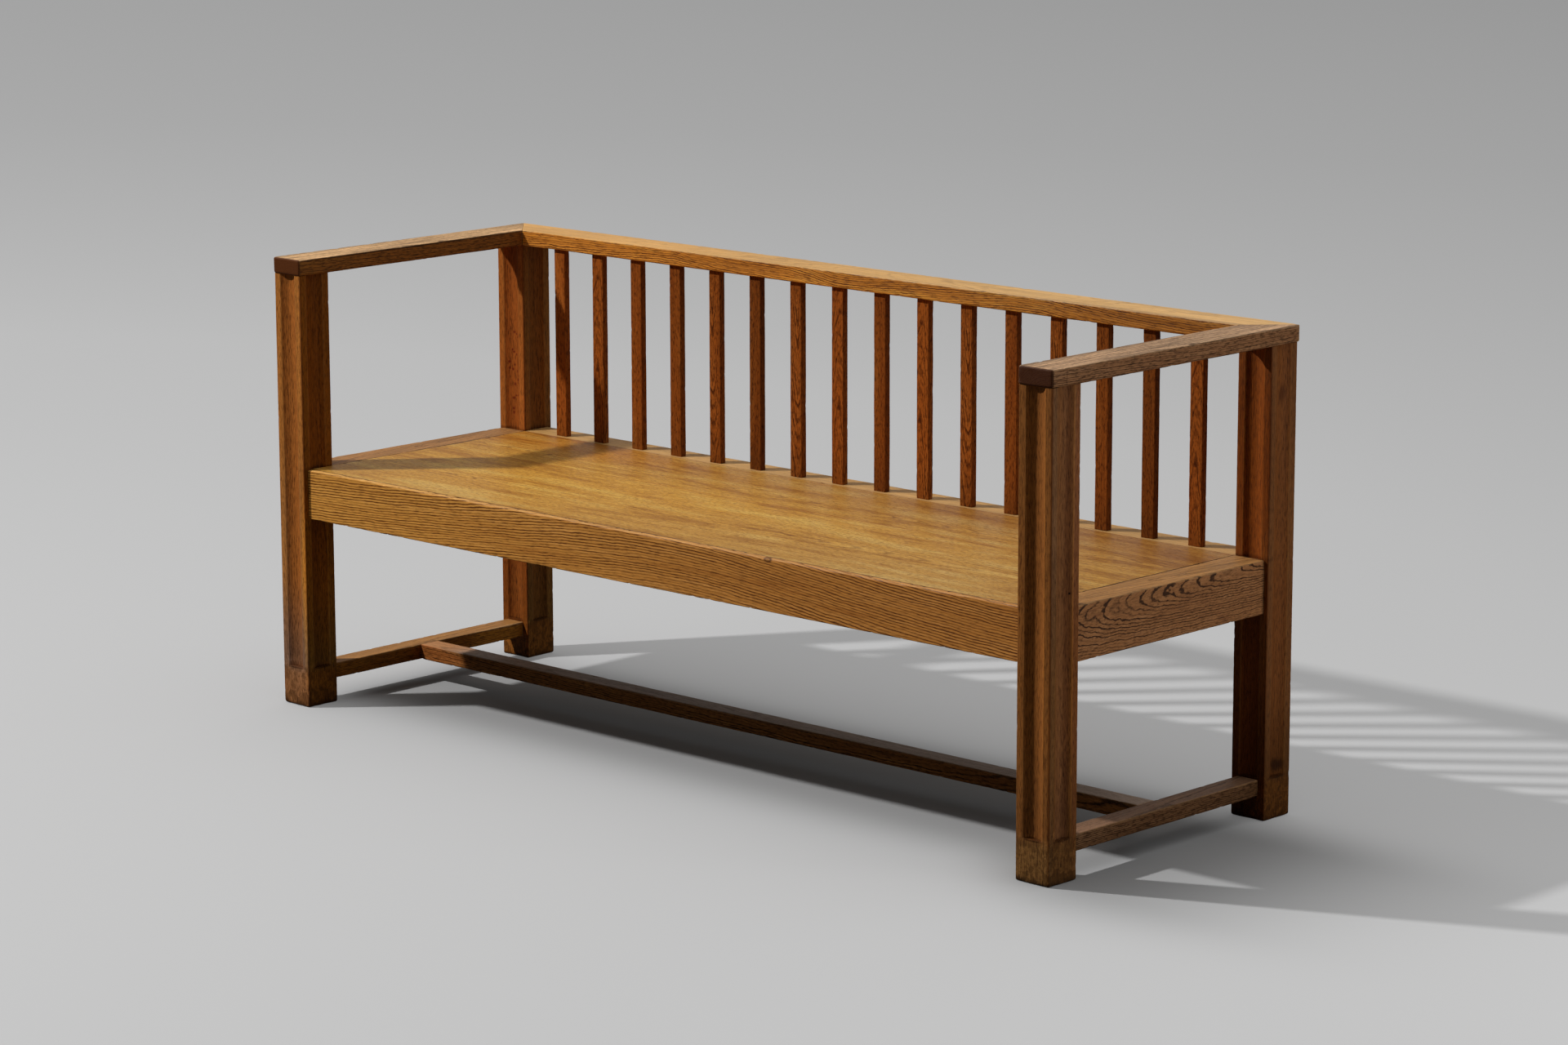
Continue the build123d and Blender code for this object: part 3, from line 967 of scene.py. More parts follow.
@dataclass
class Legs:
    """The four fluted legs."""

    x: float = 0.8185
    y: float = 0.2545
    half: float = 0.0315
    seat: float = 0.409
    stop: float = 0.066
    lower: float = 0.1545
    pith: Vec = (0.09, 0.05, 0.37)
    flute_middle: float = 0.402
    flute_reach: float = 0.38

    def _specks(self) -> tuple[Stain, ...]:
        """Dark red specks in the front flute of the rear left leg.

        Returns:
            The specks.
        """
        rng = np.random.default_rng(4)
        depth = 0.006
        face = self.y - self.half + depth
        return tuple(
            Stain(
                (-self.x + rng.uniform(-0.013, 0.014), face, 0.42 + 0.17 * rng.random() ** 1.3),
                (0.0016 + 0.0016 * rng.random(), depth, 0.0014 + 0.0016 * rng.random()),
                "5E1408",
                strength=0.8,
                ragged=0.6,
            )
            for _ in range(22)
        )

    def _painted_flute_light(self) -> tuple[Tint, ...]:
        """Painted shade on the shaded walls, painted highlights on the lit arrises, and tints of the lands,
        of the two flutes that show on the front right leg.

        Returns:
            A tint for each band of a flute.
        """
        side, front = self.x + self.half, -self.y - self.half
        # Side flute: painted shade on its wall, painted highlight on its rear arris, tints of its two lands;
        # front flute: painted highlight on its right arris, painted shade on its left wall.
        bands = (
            (side - 0.005, 0.0105 - self.y, 0.012, 0.0055, (0.72, 0.64, 0.58), 0.35),
            (side, 0.0184 - self.y, 0.003, 0.0011, (1.4, 1.3, 1.15), 0.3),
            (side, 0.0255 - self.y, 0.003, 0.0062, (1.03, 0.88, 0.88), 0.2),
            (side, -0.0250 - self.y, 0.003, 0.0065, (0.95, 1.04, 1.2), 0.2),
            (self.x + 0.0184, front, 0.0011, 0.003, (1.35, 1.25, 1.0), 0.3),
            (self.x - 0.0105, front + 0.005, 0.0055, 0.012, (0.84, 0.84, 0.76), 0.3),
        )
        middle, reach = self.flute_middle, self.flute_reach
        return tuple(
            Tint((x, y, middle), (across, back, reach), gain=gain, soft=soft)
            for x, y, across, back, gain, soft in bands
        )

    def looks(self) -> list[LegLook]:
        """The legs' tones and marks.

        Returns:
            One look a leg, front to rear and left to right.
        """
        x, y = self.x, self.y
        inner, outer = self.half - x, x + self.half
        front, rear = -y - self.half, y - self.half
        nail = Stain((outer - 0.006, -0.240, 0.431), (0.004, 0.0022, 0.0022), "140802", soft=0.3)
        shade = Tint((inner, -y, 0.21), (0.012, 0.05, 0.19), gain=(1.7, 1.6, 0.85), soft=0.35)
        wash = Tint((x, front, 0.03), (0.05, 0.004, 0.04), gain=(1.15, 1.35, 1.8), soft=0.3)
        grime = Tint((outer, -y, 0.15), (0.004, 0.05, 0.28), gain=(0.9, 0.84, 0.62), soft=0.4)
        chafe = Tint((-x, front, 0.22), (0.05, 0.004, 0.2), gain=(0.9, 1.0, 1.3), soft=0.5)
        dull = Tint((x, rear, 0.58), (0.05, 0.004, 0.17), gain=(0.72, 0.6, 0.4), soft=0.4)
        smoke = Tint((-x, rear, 0.2), (0.05, 0.004, 0.17), gain=(0.78, 0.64, 0.48), soft=0.3)
        damp = Tint((inner, y, 0.03), (0.004, 0.05, 0.037), gain=(0.9, 0.7, 0.56), soft=0.15)
        spot = y + 0.004
        knot = Stain((outer - 0.006, spot, 0.66), (0.012, 0.006, 0.014), "4A2410", strength=0.6, ragged=0.5)
        scar = Stain((outer - 0.004, spot, 0.082), (0.02, 0.012, 0.010), "2C1406", strength=0.8, ragged=1.2)
        return [
            LegLook(
                End.FRONT, Side.LEFT, "C67C37", (0.88, 0.78, 0.74), (0.47, 0.43, 0.2),
                (0.6, 0.84, 2.1), (0.9, 0.68, 0.42), (shade, chafe),
            ),
            LegLook(
                End.FRONT, Side.RIGHT, "965D29", (1.06, 1.02, 1.0), (1.02, 1.18, 1.9),
                (0.76, 0.78, 0.86), (0.68, 0.70, 0.62), (nail, wash, grime, *self._painted_flute_light()),
            ),
            LegLook(
                End.REAR, Side.LEFT, "B06326", (0.84, 0.74, 0.7), (0.75, 1.0, 1.14),
                (0.76, 0.86, 0.94), (0.86, 0.88, 0.8), (*self._specks(), smoke, damp),
            ),
            LegLook(
                End.REAR, Side.RIGHT, "844717", (1.12, 1.0, 0.85), (1.1, 1.48, 3.0),
                (0.55, 0.55, 0.46), (0.8, 0.72, 0.45), (knot, scar, dull),
            ),
        ]

    def _stop_shade(self, x: float, y: float) -> list[Tint]:
        """Painted shade: the dark lines in the step where the flutes of a leg end.

        Args:
            x: the leg's middle.
            y: the leg's middle.

        Returns:
            One line a face.
        """
        faces = (((side.value * self.half, 0.0), (0.009, 0.019)) for side in Side)
        ends = (((0.0, end.value * self.half), (0.019, 0.009)) for end in End)
        return [
            Tint((x + dx, y + dy, self.stop), (*size, 0.0025), gain=(0.42, 0.37, 0.33), ragged=0.6, soft=0.4)
            for (dx, dy), size in (*faces, *ends)
        ]

    def build(self) -> Pieces:
        """Builds the legs.

        Returns:
            The pieces.
        """
        made = []
        # Painted shade: a thin dark band on each leg's inner faces where the seat meets it.
        seat_contact_shade = {"gain": (0.5, 0.42, 0.36), "ragged": 0.8}
        corner = {"gain": (0.6, 0.5, 0.45), "ragged": 0.8}
        for n, look in enumerate(self.looks()):
            name = f"leg_{look.end.word}_{look.side.word}"
            x, y = look.side.value * self.x, look.end.value * self.y
            inner_x, inner_y = x - look.side.value * self.half, y - look.end.value * self.half
            skin = Post((x, y), seed=11 + n).skin().weather(31 + n, 110, 0.0008)
            pith = (x + self.pith[0], y + self.pith[1] * (n - 1.4), self.pith[2])
            stains = (
                Tint((x, y, 0.0), (0.2, 0.2, self.lower), gain=look.lower, soft=0.6),
                Tint((x, y, 0.0), (0.3, 0.3, self.stop), gain=look.foot, soft=0.2),
                Tint((x, y, -0.03), (10.0, 10.0, 0.075), gain=(1.6, 1.68, 1.82), ragged=2.8, soft=0.25),
                Tint((x, y, -0.05), (10.0, 10.0, 0.07), gain=(0.52, 0.5, 0.46), ragged=2.8, soft=0.2),
                *self._stop_shade(x, y),
                Tint((x, y, 0.0), (0.2, 0.2, 0.006), gain=(0.55, 0.55, 0.55), ragged=1.2, soft=0.7),
                Tint((x + self.half, y - self.half, 0.4), (0.0022, 0.0022, 4.0), **corner),
                Tint((inner_x, y, self.seat), (0.012, 0.03, 0.003), **seat_contact_shade),
                Tint((x, inner_y, self.seat), (0.03, 0.012, 0.003), **seat_contact_shade),
                *look.marks,
            )
            finish = replace(
                LEG,
                body=look.body,
                pale=lift(look.body, 1.3),
                deep=lift(look.body, 0.7),
                gains=(("hollow", look.hollow), ("right", look.right)),
            )
            figure = Figure(pith, (0.0, -math.pi / 2, 0.0))
            made.append(finish.cover(skin, name, "leg_oak", figure, stains))
        return made


@dataclass
class Stretchers:
    """The low stretchers, set in an H."""

    top: float = 0.064
    height: float = 0.026
    width: float = 0.040
    arris: float = 0.002
    leg_x: float = 0.8185
    inner_y: float = 0.223

    def build(self) -> Pieces:
        """Builds the two side stretchers and the long one.

        Returns:
            The pieces.
        """
        low, half = self.top - self.height, self.width / 2
        rounds = (self.arris,) * 4
        pale = Tint((half - self.leg_x, 0.165, 0.05), (0.004, 0.06, 0.025), gain=(1.7, 2.0, 2.6), soft=0.4)
        made = []
        sides = ((Side.LEFT, LEFT_STRETCHER, (pale,)), (Side.RIGHT, RIGHT_STRETCHER, ()))
        for side, finish, stains in sides:
            x = side.value * self.leg_x
            box = (x - half, -self.inner_y, low), (x + half, self.inner_y, self.top)
            skin = Board(*box, Axis.Y, rounds, seed=3).skin().weather(41 + side.value, 60, 0.0009)
            figure = Figure((x + 0.02, 0, 0.12), (0, 0.02, math.pi / 2 + 0.03), ring=0.003)
            made.append(finish.cover(skin, f"side_stretcher_{side.word}", "stretcher_oak", figure, stains))
        reach = self.leg_x - half
        box = (-reach, -half, low), (reach, half, self.top)
        skin = Board(*box, Axis.X, rounds, seed=5).skin().weather(45, 120, 0.0009)
        figure = Figure((0.3, 0.02, 0.075), (0, 0.03, 0.03), ring=0.0034, sway=0.014, quiver=0.004)
        lit = (
            Tint((-0.80, 0.0, 0.067), (0.12, 0.06, 0.005), gain=(1.2, 0.78, 0.4), soft=0.3),
            Tint((-0.80, -half, 0.05), (0.12, 0.004, 0.0135), gain=(1.3, 1.1, 1.05), soft=0.3),
        )
        made.append(STRETCHER.cover(skin, "long_stretcher", "stretcher_oak", figure, lit))
        return made


@dataclass
class SeatFrame:
    """The four seat rails."""

    top: float = 0.409
    height: float = 0.084
    inner_x: float = 0.787
    inner_y: float = 0.223
    face_y: float = 0.278
    face_x: float = 0.844
    lip: float = 0.008
    panel: float = 0.020

    def build(self) -> Pieces:
        """Builds the front, rear and end rails."""
        return [*self._front(), self._rear(), *(self._end(side) for side in Side)]

    def _front(self) -> Pieces:
        """Builds the front rail: its lip, and its core under the seat board.

        Returns:
            The two pieces.
        """
        low, front, joint = self.top - self.height, -self.face_y, -self.face_y + self.lip
        rounds = (0.0015, 0.0004, 0.0038, 0.0006)
        box = (-self.inner_x, front, low), (self.inner_x, joint, self.top)
        skin = Board(*box, Axis.X, rounds, (0.0015, 0.0015), step=0.004, seed=7).skin()
        figure = Figure(
            (0.0, -0.20, 0.70), ring=0.0044, sway=0.005, quiver=0.0032, drift=4.0,
            bends=(Bend(0.03, 0.5, (0.0, -0.065)),),
        )
        plug = (0.279, front + 0.001, 0.4062)
        stains = (
            # Brighter towards the left end and darker towards the right: partly the wood's tone and partly
            # painted light that falls off away from the key lamp.
            Tint((-0.9, front, 0.37), (0.6, 0.1, 0.2), gain=(1.1, 1.14, 1.1)),
            Tint((0.9, front, 0.37), (1.1, 0.1, 0.2), gain=(0.84, 0.76, 0.78)),
            Stain(plug, (0.0085, 0.006, 0.0042), "4A2408", strength=0.8, soft=0.3, ragged=0.4),
            Stain(plug, (0.0045, 0.006, 0.0018), "A87030", strength=0.8, soft=0.3),
            Stain((0.0, joint, self.top), (3.0, 0.0011, 0.01), "4A2A10", strength=0.8, ragged=1.8),
        )
        lip = FRONT.cover(skin.weather(51, 260, 0.0012), "front_rail", "seat_rail_oak", figure, stains)
        under = self.top - self.panel
        box = (-self.inner_x, joint - 0.001, low + 0.0002), (self.inner_x, -self.inner_y, under)
        skin = Board(*box, Axis.X, (0.0004, 0.0015, 0.0004, 0.0004), step=0.02).skin()
        finish = FRONT.dress("front_rail_core", figure)
        return [lip, skin.show("front_rail_core", finish, "front_rail", "seat_rail_oak")]

    def _rear(self) -> bpy.types.Object:
        """Builds the rear rail.

        Returns:
            The rail.
        """
        box = (-self.inner_x, self.inner_y, self.top - self.height), (self.inner_x, self.face_y, self.top)
        skin = Board(*box, Axis.X, (0.0004, 0.0015, 0.0004, 0.0015), (0.0006, 0.0006), seed=9).skin()
        figure = Figure((0.0, 0.30, 0.15), (0, 0, 0.01), ring=0.004)
        return REAR.cover(skin.weather(53, 160, 0.0009), "rear_rail", "seat_rail_oak", figure)

    def _end(self, side: Side) -> bpy.types.Object:
        """Builds an end rail.

        Args:
            side: left or right.

        Returns:
            The rail.
        """
        near, far = sorted((side.value * self.inner_x, side.value * self.face_x))
        rounds = (0.0004, 0.0015, 0.0004, 0.0025) if side is Side.RIGHT else (0.0015, 0.0004, 0.0025, 0.0004)
        box = (near, -self.inner_y, self.top - self.height), (far, self.inner_y, self.top)
        skin = Board(*box, Axis.Y, rounds, (0.0015, 0.0015), seed=13).skin()
        figure = Figure(
            (side.value * 0.80, -0.1, 0.395), (0.0, -0.03, math.pi / 2 - side.value * 0.12),
            ring=0.0036, sway=0.008, quiver=0.0038, pace=30.0,
        )
        stains = (
            Stain((side.value * self.inner_x, 0.0, self.top), (0.0014, 0.24, 0.01), "2E1A0C", ragged=1.2),
            Tint((-self.face_x, 0.0, self.top), (0.1, 0.3, 0.01), gain=(0.91, 0.88, 0.9)),
            # Painted shade in the gap at the rail's rear end, beside the rear leg.
            Tint((side.value * self.face_x, self.inner_y, 0.37), (0.1, 0.004, 0.2), gain=(0.3, 0.3, 0.3)),
        )
        skin.weather(55 + side.value, 90, 0.0009)
        return END.cover(skin, f"end_rail_{side.word}", "seat_rail_oak", figure, stains)


@dataclass
class SeatBoards:
    """The two boards of the seat and the bearers under them."""

    top: float = 0.409
    thickness: float = 0.020
    end_x: float = 0.7865
    front_y: float = -0.2695
    joint_y: float = 0.0295
    rear_y: float = 0.2225
    bearers: int = 3
    bearer_pitch: float = 0.3935

    def build(self, nodes: dict[str, bpy.types.Object]) -> Pieces:
        """Builds the boards and dresses the bearers.

        Args:
            nodes: the CAD nodes by name.

        Returns:
            The pieces.
        """
        top, dark = self.top, "3E2410"
        common = (
            Stain((0.0, self.front_y, top), (3.0, 0.0013, 0.02), dark, strength=0.8, ragged=1.9),
            Stain((self.end_x, 0.0, top), (0.0013, 0.25, 0.02), dark, strength=0.9, ragged=1.0),
            Stain((-self.end_x, 0.07, top), (0.0016, 0.11, 0.02), dark, strength=0.7, ragged=1.4),
            Stain((-self.end_x, 0.055, top), (0.006, 0.035, 0.02), "6A4426", strength=0.6, ragged=1.5),
            Stain((0.0, self.joint_y, top), (3.0, 0.0016, 0.02), "96581E", strength=0.5, ragged=1.6),
            Tint((0.0, self.rear_y, top), (1.6, 0.10, 0.1), gain=(0.84, 0.76, 0.74)),
            Tint((0.75, 0.18, top), (0.5, 0.16, 0.1), gain=(0.80, 0.74, 0.8)),
            # Greyer and bluer towards the front right: partly the wood's tone and partly a painted sheen.
            Tint((0.60, -0.24, top), (0.7, 0.16, 0.1), gain=(0.94, 0.98, 1.2)),
            Tint((-0.25, -0.05, top), (0.5, 0.14, 0.1), gain=(1.08, 1.06, 0.85)),
            Tint((-0.60, 0.17, top), (0.2, 0.06, 0.1), gain=(1.02, 0.86, 0.6)),
        )
        front = Figure((0.42, -0.13, 0.375), (0.0, 0.045, 0.01), ring=0.0036, sway=0.005)
        rear = Figure((0.30, 0.085, 0.385), (0.0, 0.05, -0.01), ring=0.0032, sway=0.005)
        boards = (("front", self.front_y, self.joint_y, front), ("rear", self.joint_y, self.rear_y, rear))
        made = []
        for n, (word, near, far, figure) in enumerate(boards):
            box = (-self.end_x, near, top - self.thickness), (self.end_x, far, top)
            board = Board(*box, Axis.X, (0.0004, 0.0004, 0.0008, 0.0008), step=0.008, seed=21 + n)
            skin = board.skin().weather(61 + n, 120, 0.0007)
            made.append(SEAT.cover(skin, f"seat_board_{word}", "seat_oak", figure, common))
        for n in range(self.bearers):
            x = (n - 1) * self.bearer_pitch
            self.dress(nodes[f"seat_bearer_{n + 1}"], Figure((x, 0, 0.30), (0, 0, math.pi / 2)))
        return made

    @staticmethod
    def dress(node: bpy.types.Object, figure: Figure) -> None:
        """Gives a hidden CAD node the plain wood of the inside.

        Args:
            node: the CAD node's object.
            figure: how it was cut.
        """
        node.data.materials.clear()
        node.data.materials.append(INNER.dress(node.name, figure))


@dataclass
class SlatBack:
    """The row of slats between the rear rail and the back rail.

    tones has a gain for each slat, and flamed the numbers of those cut through a cathedral.
    """

    pitch: float = 0.0936
    width: float = 0.025
    thickness: float = 0.012
    y: float = 0.236
    low: float = 0.409
    high: float = 0.737
    flamed: tuple[int, ...] = (2, 5, 7, 8, 10, 11, 13, 16)
    tones: tuple[float, ...] = (
        1.35, 1.28, 1.09, 0.96, 1.12, 0.72, 1.15, 1.3, 0.97, 1.36, 1.2, 1.0, 1.15, 0.93, 0.72, 1.25,
    )

    def build(self) -> Pieces:
        """Builds the slats.

        Returns:
            The pieces.
        """
        made = []
        rng = np.random.default_rng(5)
        across, back = self.width / 2, self.thickness / 2
        for n, tone in enumerate(self.tones):
            x = (n - (len(self.tones) - 1) / 2) * self.pitch
            box = (x - across, self.y - back, self.low), (x + across, self.y + back, self.high)
            board = Board(*box, Axis.Z, (0.001,) * 4, (0.0003, 0.0003), seed=70 + n)
            pith = (x + rng.uniform(-0.03, 0.03), self.y + rng.uniform(0.02, 0.06), rng.uniform(0.3, 0.9))
            lean = (rng.uniform(-0.04, 0.04), -math.pi / 2 + rng.uniform(-0.08, 0.08), 0.0)
            figure = Figure(pith, lean, ring=rng.uniform(0.002, 0.0035), sway=0.006)
            finish = SLAT
            if n + 1 in self.flamed:
                tip = self.low - 0.1 if n % 2 else self.high + 0.1
                pith = (x + rng.uniform(-0.006, 0.006), self.y - 0.003, tip)
                lean = (0.0, -math.pi / 2 + 0.07, math.pi / 2)
                figure = Figure(pith, lean, ring=0.0026, sway=0.008, quiver=0.003)
                finish = replace(SLAT, lines=0.85, line_width=0.3)
            skin = board.skin().weather(80 + n, 24, 0.0006)
            foot = Tint((x, self.y, self.low), (0.1, 0.1, 0.035), gain=(0.8, 0.85, 0.9))
            gain = (tone, tone * 0.98, tone * 0.95)
            own = Tint((x, self.y, self.low), (1.0, 1.0, 1.0), gain=gain, soft=0.1)
            made.append(finish.cover(skin, f"slat_{n + 1:02d}", "slat_oak", figure, (foot, own)))
        return made


@dataclass
class TopFrame:
    """The two arms and the back rail, mitred together."""

    low: float = 0.737
    high: float = 0.764
    outer_x: float = 0.852
    outer_y: float = 0.288
    width: float = 0.067
    rounds: tuple[float, float, float, float] = (0.003, 0.003, 0.002, 0.002)
    front_round: float = 0.003
    mitre: float = 0.0004
    gap: float = 0.0001
    leg_x: float = 0.8185
    corner: float = 0.0045

    def build(self, nodes: dict[str, bpy.types.Object]) -> Pieces:
        """Builds the arms and the back rail and dresses the hidden tongues.

        Args:
            nodes: the CAD nodes by name.

        Returns:
            The pieces.
        """
        made = [self._arm(side) for side in Side]
        made.append(self._back_rail())
        for side in Side:
            figure = Figure((side.value * 0.8, 0.2, 0.7), (0, 0, 0.8))
            SeatBoards.dress(nodes[f"mitre_tongue_{side.word}"], figure)
        return made

    def _arm(self, side: Side) -> bpy.types.Object:
        """Builds one arm.

        The board is straight, then its length at each point across is drawn in, so that its
        rear end follows the mitre, and the corners of its front end are rounded in plan.

        Args:
            side: left or right.

        Returns:
            The arm.
        """
        inner, outer = self.outer_x - self.width, self.outer_x
        near, far = sorted((side.value * inner, side.value * outer))
        box = (near, -self.outer_y, self.low), (far, self.outer_y, self.high)
        ends = (self.front_round, self.mitre)
        skin = Board(*box, Axis.Y, self.rounds, ends, step=0.004, seed=17 + side.value).skin()
        front = -self.outer_y
        reach = self.outer_y - (outer - np.abs(skin.points[:, 0])) - self.gap
        skin.points[:, 1] = front + (skin.points[:, 1] - front) * (reach - front) / (2 * self.outer_y)
        self._round_plan(skin, side, front)
        skin.weather(91 + side.value, 110, 0.0009)
        x = side.value * self.leg_x
        figure = Figure((x + 0.03, 0.0, 0.69), (0.0, 0.02, math.pi / 2 + 0.02), ring=0.003)
        finish, end = ARM, "401A02"
        if side is Side.LEFT:
            end = "5A2E12"
            finish = replace(ARM, deep="845220", body="996128", pale="A97232", top="D4A877")
        crack = (-inner, -0.05, self.high - 0.0025)
        stains = (
            Stain((x, front, self.low + 0.0135), (0.06, 0.003, 0.04), end, strength=0.93, soft=0.35),
            Stain(crack, (0.0018, 0.3, 0.0012), "2A1206", strength=0.8, ragged=2.0),
            Stain((outer, -0.2566, 0.7505), (0.003, 0.0007, 0.015), "3A2010", strength=0.6, soft=0.3),
        )
        return finish.cover(skin, f"arm_{side.word}", "arm_oak", figure, stains)

    def _round_plan(self, skin: Skin, side: Side, front: float) -> None:
        """Rounds the two corners of an arm's front end as seen from above.

        Within the corner's square, a point keeps its square distance from the corner's inner
        point, the larger of its two distances, but measured along a circle.

        Args:
            skin: the arm's surface, changed in place.
            side: left or right.
            front: the front end's place.
        """
        radius, half = self.corner, self.width / 2
        middle = side.value * (self.outer_x - half)
        dx = np.abs(skin.points[:, 0] - middle) - (half - radius)
        dy = (front + radius) - skin.points[:, 1]
        corner = (dx > 0) & (dy > 0)
        shrink = np.where(corner, np.maximum(dx, dy) / np.maximum(np.hypot(dx, dy), 1e-9), 1.0)
        out = np.sign(skin.points[:, 0] - middle) * (half - radius + dx * shrink)
        skin.points[:, 0] = np.where(corner, middle + out, skin.points[:, 0])
        skin.points[:, 1] = np.where(corner, front + radius - dy * shrink, skin.points[:, 1])

    def _back_rail(self) -> bpy.types.Object:
        """Builds the back rail, whose length at each point across follows the two mitres.

        Returns:
            The rail.
        """
        near, far = self.outer_y - self.width, self.outer_y
        box = (-self.outer_x, near, self.low), (self.outer_x, far, self.high)
        skin = Board(*box, Axis.X, self.rounds, (self.mitre, self.mitre), step=0.004, seed=19).skin()
        reach = self.outer_x - (far - skin.points[:, 1]) - self.gap
        skin.points[:, 0] = skin.points[:, 0] / self.outer_x * reach
        skin.weather(95, 240, 0.0009)
        bends = ((-0.42, 0.10, -0.009), (-0.02, 0.09, 0.013), (0.36, 0.12, -0.010))
        figure = Figure(
            (0.0, 0.27, 0.62), (0.0, 0.010, 0.0),
            ring=0.0034, sway=0.012, quiver=0.0034, pace=20.0, drift=3.0,
            bends=tuple(Bend(at, reach, (0.0, shift)) for at, reach, shift in bends),
        )
        stains = (
            Tint((-0.9, 0.25, self.high), (1.1, 0.1, 0.02), gain=(0.93, 0.84, 0.66)),
            Tint((0.2, 0.25, self.high), (0.6, 0.1, 0.02), gain=(1.07, 1.09, 1.08)),
            Tint((0.0, near, self.low), (0.9, 0.008, 0.008), gain=(1.2, 1.2, 1.1), ragged=0.8),
            Tint((0.9, near - 0.002, 0.752), (0.9, 0.010, 0.05), gain=(0.64, 0.62, 0.68)),
        )
        return BACK.cover(skin, "back_rail", "back_rail_oak", figure, stains)


# Studio


@dataclass
class Studio:
    """The floor, the light and the camera.

    floor_tones are the floor's tone at distances from the key lamp's foot, and floor_fade is how
    much darker it gets per metre to the camera's right and away from it; both paint the spread of
    the light over the floor. The floor's painted glow ends round a box under the seat, which leaves
    painted shade there: each side has its place and how steeply the distance from it counts. The
    shade zone's front is drawn in by a step along X. The sky behind the settle is where sky_toward
    points, and its steps are in the direction's own numbers.
    """

    camera_at: Vec = (5.0630, -5.27925, 1.85164)
    yaw: float = 0.7595
    pitch: float = -0.1979
    roll: float = -0.0026
    lens: float = 106.66
    sensor: float = 36.0
    sight: float = 200.0
    floor_half: float = 60.0
    floor_drop: float = 0.0003
    floor_reach: float = 15.0
    floor_tones: tuple[Pair, ...] = ((1.4, 0.307), (3.0, 0.337), (4.2, 0.365), (9.0, 0.339), (15.0, 0.362))
    floor_fade: Pair = (0.0335, 0.0193)
    floor_least: float = 0.5
    floor_glow: float = 0.18
    shade_zone_left: Pair = (0.78, 1.4)
    shade_zone_right: Pair = (0.9, 0.4)
    shade_zone_half: float = 0.11
    shade_zone_step: Vec = (0.6, 0.9, 0.14)
    shade_zone_fall: float = 70.0
    key_at: Vec = (-2.084, -1.638, 2.581)
    key_size: float = 0.07
    key: float = 34.0
    sky: Vec = (0.04, 0.34, 0.9)
    sky_toward: Pair = (-0.3, 0.95)
    sky_behind: Pair = (-0.1, 0.6)
    sky_above: Pair = (0.5, 1.0)
    sky_seen: float = 0.33
    bounce: float = 0.11
    fill_at: Vec = (2.9, 0.5, 0.75)
    fill_aim: Vec = (0.85, 0.0, 0.4)
    fill_size: float = 1.0
    fill: float = 10.0

    def build(self) -> None:
        """Builds the studio."""
        self._floor()
        self._world()
        self._lamps()
        self._camera()

    def _floor(self) -> None:
        """A plain pale floor whose painted light makes it a little darker right under the lamp, to the right
        and far off.

        The camera sees it raised by an even painted glow, which fades out under the seat by a bell
        curve of the distance from the zone there, leaving painted shade under the seat.
        """
        mesh = bpy.data.meshes.new("floor")
        r = self.floor_half
        mesh.from_pydata([(-r, -r, 0), (r, -r, 0), (r, r, 0), (-r, r, 0)], [], [(0, 1, 2, 3)])
        floor = bpy.data.objects.new("floor", mesh)
        floor.location.z = -self.floor_drop
        bpy.context.scene.collection.objects.link(floor)
        material = bpy.data.materials.new("floor")
        sheet = Sheet(material)
        place = sheet.place()
        away = ((place - (self.key_at[0], self.key_at[1], 0.0)) * (1.0, 1.0, 0.0)).length()
        across, back, _ = place.parts()
        cos, sin = math.cos(self.yaw), math.sin(self.yaw)
        right, far = self.floor_fade
        slope_x, slope_y = cos * right - sin * far, sin * right + cos * far
        fade = 1.0 - across * slope_x - back * slope_y
        fade = fade.above(self.floor_least) + self.floor_least
        (left, left_rate), (end, end_rate) = self.shade_zone_left, self.shade_zone_right
        start, stop, draw = self.shade_zone_step
        aside = across.above(end) * end_rate + (across * -1.0).above(left) * left_rate
        before = (back * -1.0 - sheet.step(across, start, stop) * draw).above(self.shade_zone_half)
        outside = aside**2.0 + (before + back.above(self.shade_zone_half)) ** 2.0
        # Painted glow outside the zone under the seat, which leaves painted shade inside it.
        lifted = 1.0 - (outside * -self.shade_zone_fall).apply("EXPONENT")
        stops = [(at / self.floor_reach, (tone,) * 3) for at, tone in self.floor_tones]
        tones = sheet.add("ShaderNodeValToRGB", {"stops": stops}, {0: away * (1 / self.floor_reach)})
        seen = sheet.seen()
        shader = sheet.add(
            "ShaderNodeBsdfPrincipled",
            {},
            {
                "Base Color": sheet.mix(seen, (self.bounce,) * 3, tones * fade),
                "Roughness": 1.0,
                "Specular IOR Level": 0.0,
                "Emission Color": sheet.mix(seen * lifted, (0.0,) * 3, (self.floor_glow,) * 3),
                "Emission Strength": 1.0,
            },
        )
        sheet.node("ShaderNodeOutputMaterial", {}, {"Surface": shader})
        mesh.materials.append(material)

    def _world(self) -> None:
        """A sky that is brighter overhead and behind the settle, and as the far floor for the camera."""
        world = bpy.data.worlds.new("studio")
        bpy.context.scene.world = world
        sheet = Sheet(world)
        seen = sheet.seen()
        across, back, height = sheet.add("ShaderNodeTexCoord", {}, {}, "Generated").parts()
        toward = across * self.sky_toward[0] + back * self.sky_toward[1]
        behind = sheet.step(toward, *self.sky_behind)
        low = sheet.mix(behind, (self.sky[0],) * 3, (self.sky[1],) * 3)
        sky = sheet.mix(sheet.step(height, *self.sky_above), low, (self.sky[2],) * 3)
        tone = sheet.mix(seen, sky, (self.sky_seen,) * 3)
        glow = sheet.add("ShaderNodeBackground", {}, {"Color": tone, "Strength": 1.0})
        sheet.node("ShaderNodeOutputWorld", {}, {"Surface": glow})

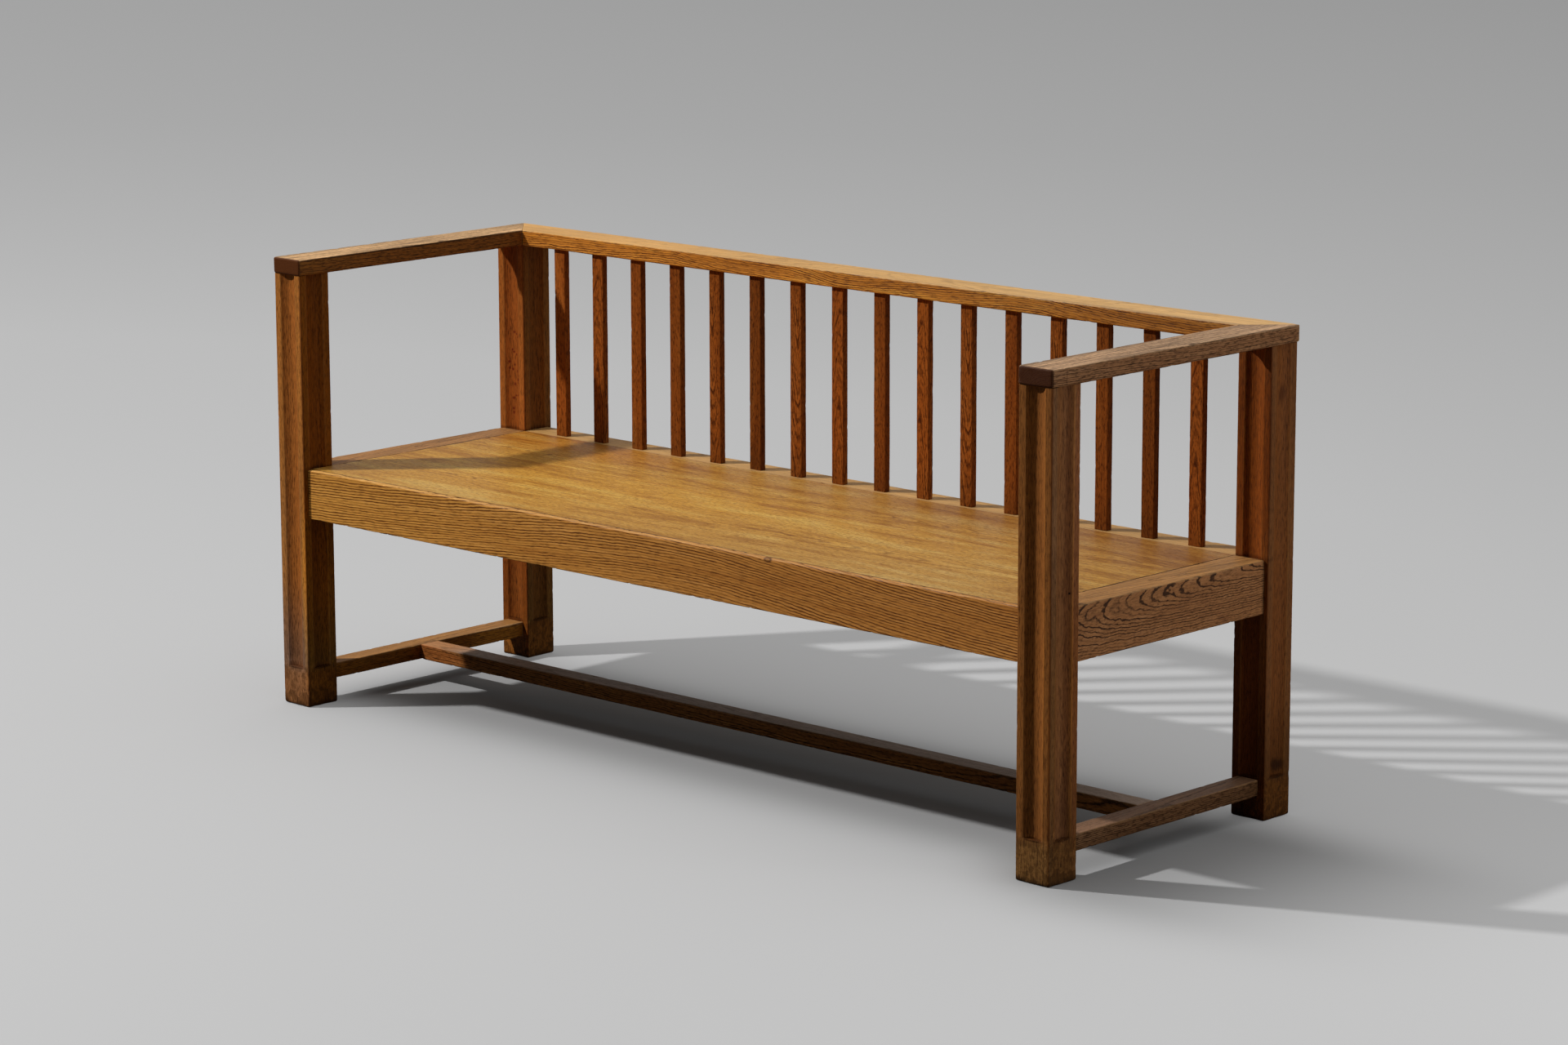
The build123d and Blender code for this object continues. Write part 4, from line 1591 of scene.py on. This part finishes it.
    def _lamps(self) -> None:
        """A key lamp at the front left, whose light doesn't fall off, and a weak fill at the right."""
        key = bpy.data.lights.new("key", "POINT")
        key.energy = self.key
        key.shadow_soft_size = self.key_size
        sheet = Sheet(key)
        even = sheet.add("ShaderNodeLightFalloff", {}, {"Strength": 1.0}, "Constant")
        glow = sheet.add("ShaderNodeEmission", {}, {"Color": (1.0, 1.0, 1.0), "Strength": even})
        sheet.node("ShaderNodeOutputLight", {}, {"Surface": glow})
        fill = bpy.data.lights.new("fill", "AREA")
        fill.energy = self.fill
        fill.size = self.fill_size
        for data, at in ((key, self.key_at), (fill, self.fill_at)):
            lamp = bpy.data.objects.new(data.name, data)
            lamp.location = at
            lamp.rotation_euler = (Vector(at) - Vector(self.fill_aim)).to_track_quat("Z", "Y").to_euler()
            bpy.context.scene.collection.objects.link(lamp)

    def _camera(self) -> None:
        """The camera, at the viewing angle of the photograph."""
        data = bpy.data.cameras.new("camera")
        data.lens = self.lens
        data.sensor_width = self.sensor
        data.clip_end = self.sight
        right = Vector((math.cos(self.yaw), math.sin(self.yaw), 0.0))
        ahead = Vector((-math.sin(self.yaw), math.cos(self.yaw), math.tan(self.pitch)))
        forward = ahead * math.cos(self.pitch)
        up = right.cross(forward)
        cos, sin = math.cos(self.roll), math.sin(self.roll)
        right, up = right * cos + up * sin, up * cos - right * sin
        camera = bpy.data.objects.new("camera", data)
        turned = Matrix((right, up, -forward)).transposed().to_4x4()
        camera.matrix_world = Matrix.Translation(self.camera_at) @ turned
        bpy.context.scene.collection.objects.link(camera)
        bpy.context.scene.camera = camera


def main() -> None:
    """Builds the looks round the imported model."""
    logging.basicConfig(level=logging.INFO, format="%(message)s")
    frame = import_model()
    nodes = frame["nodes"]
    bpy.context.scene.view_settings.view_transform = "Standard"
    Studio().build()
    pieces = Legs().build()
    pieces += Stretchers().build()
    pieces += SeatFrame().build()
    pieces += SeatBoards().build(nodes)
    pieces += SlatBack().build()
    pieces += TopFrame().build(nodes)
    for piece in pieces:
        LOG.info("%s: %d faces", piece.name, len(piece.data.polygons))


if __name__ == "__main__":
    main()
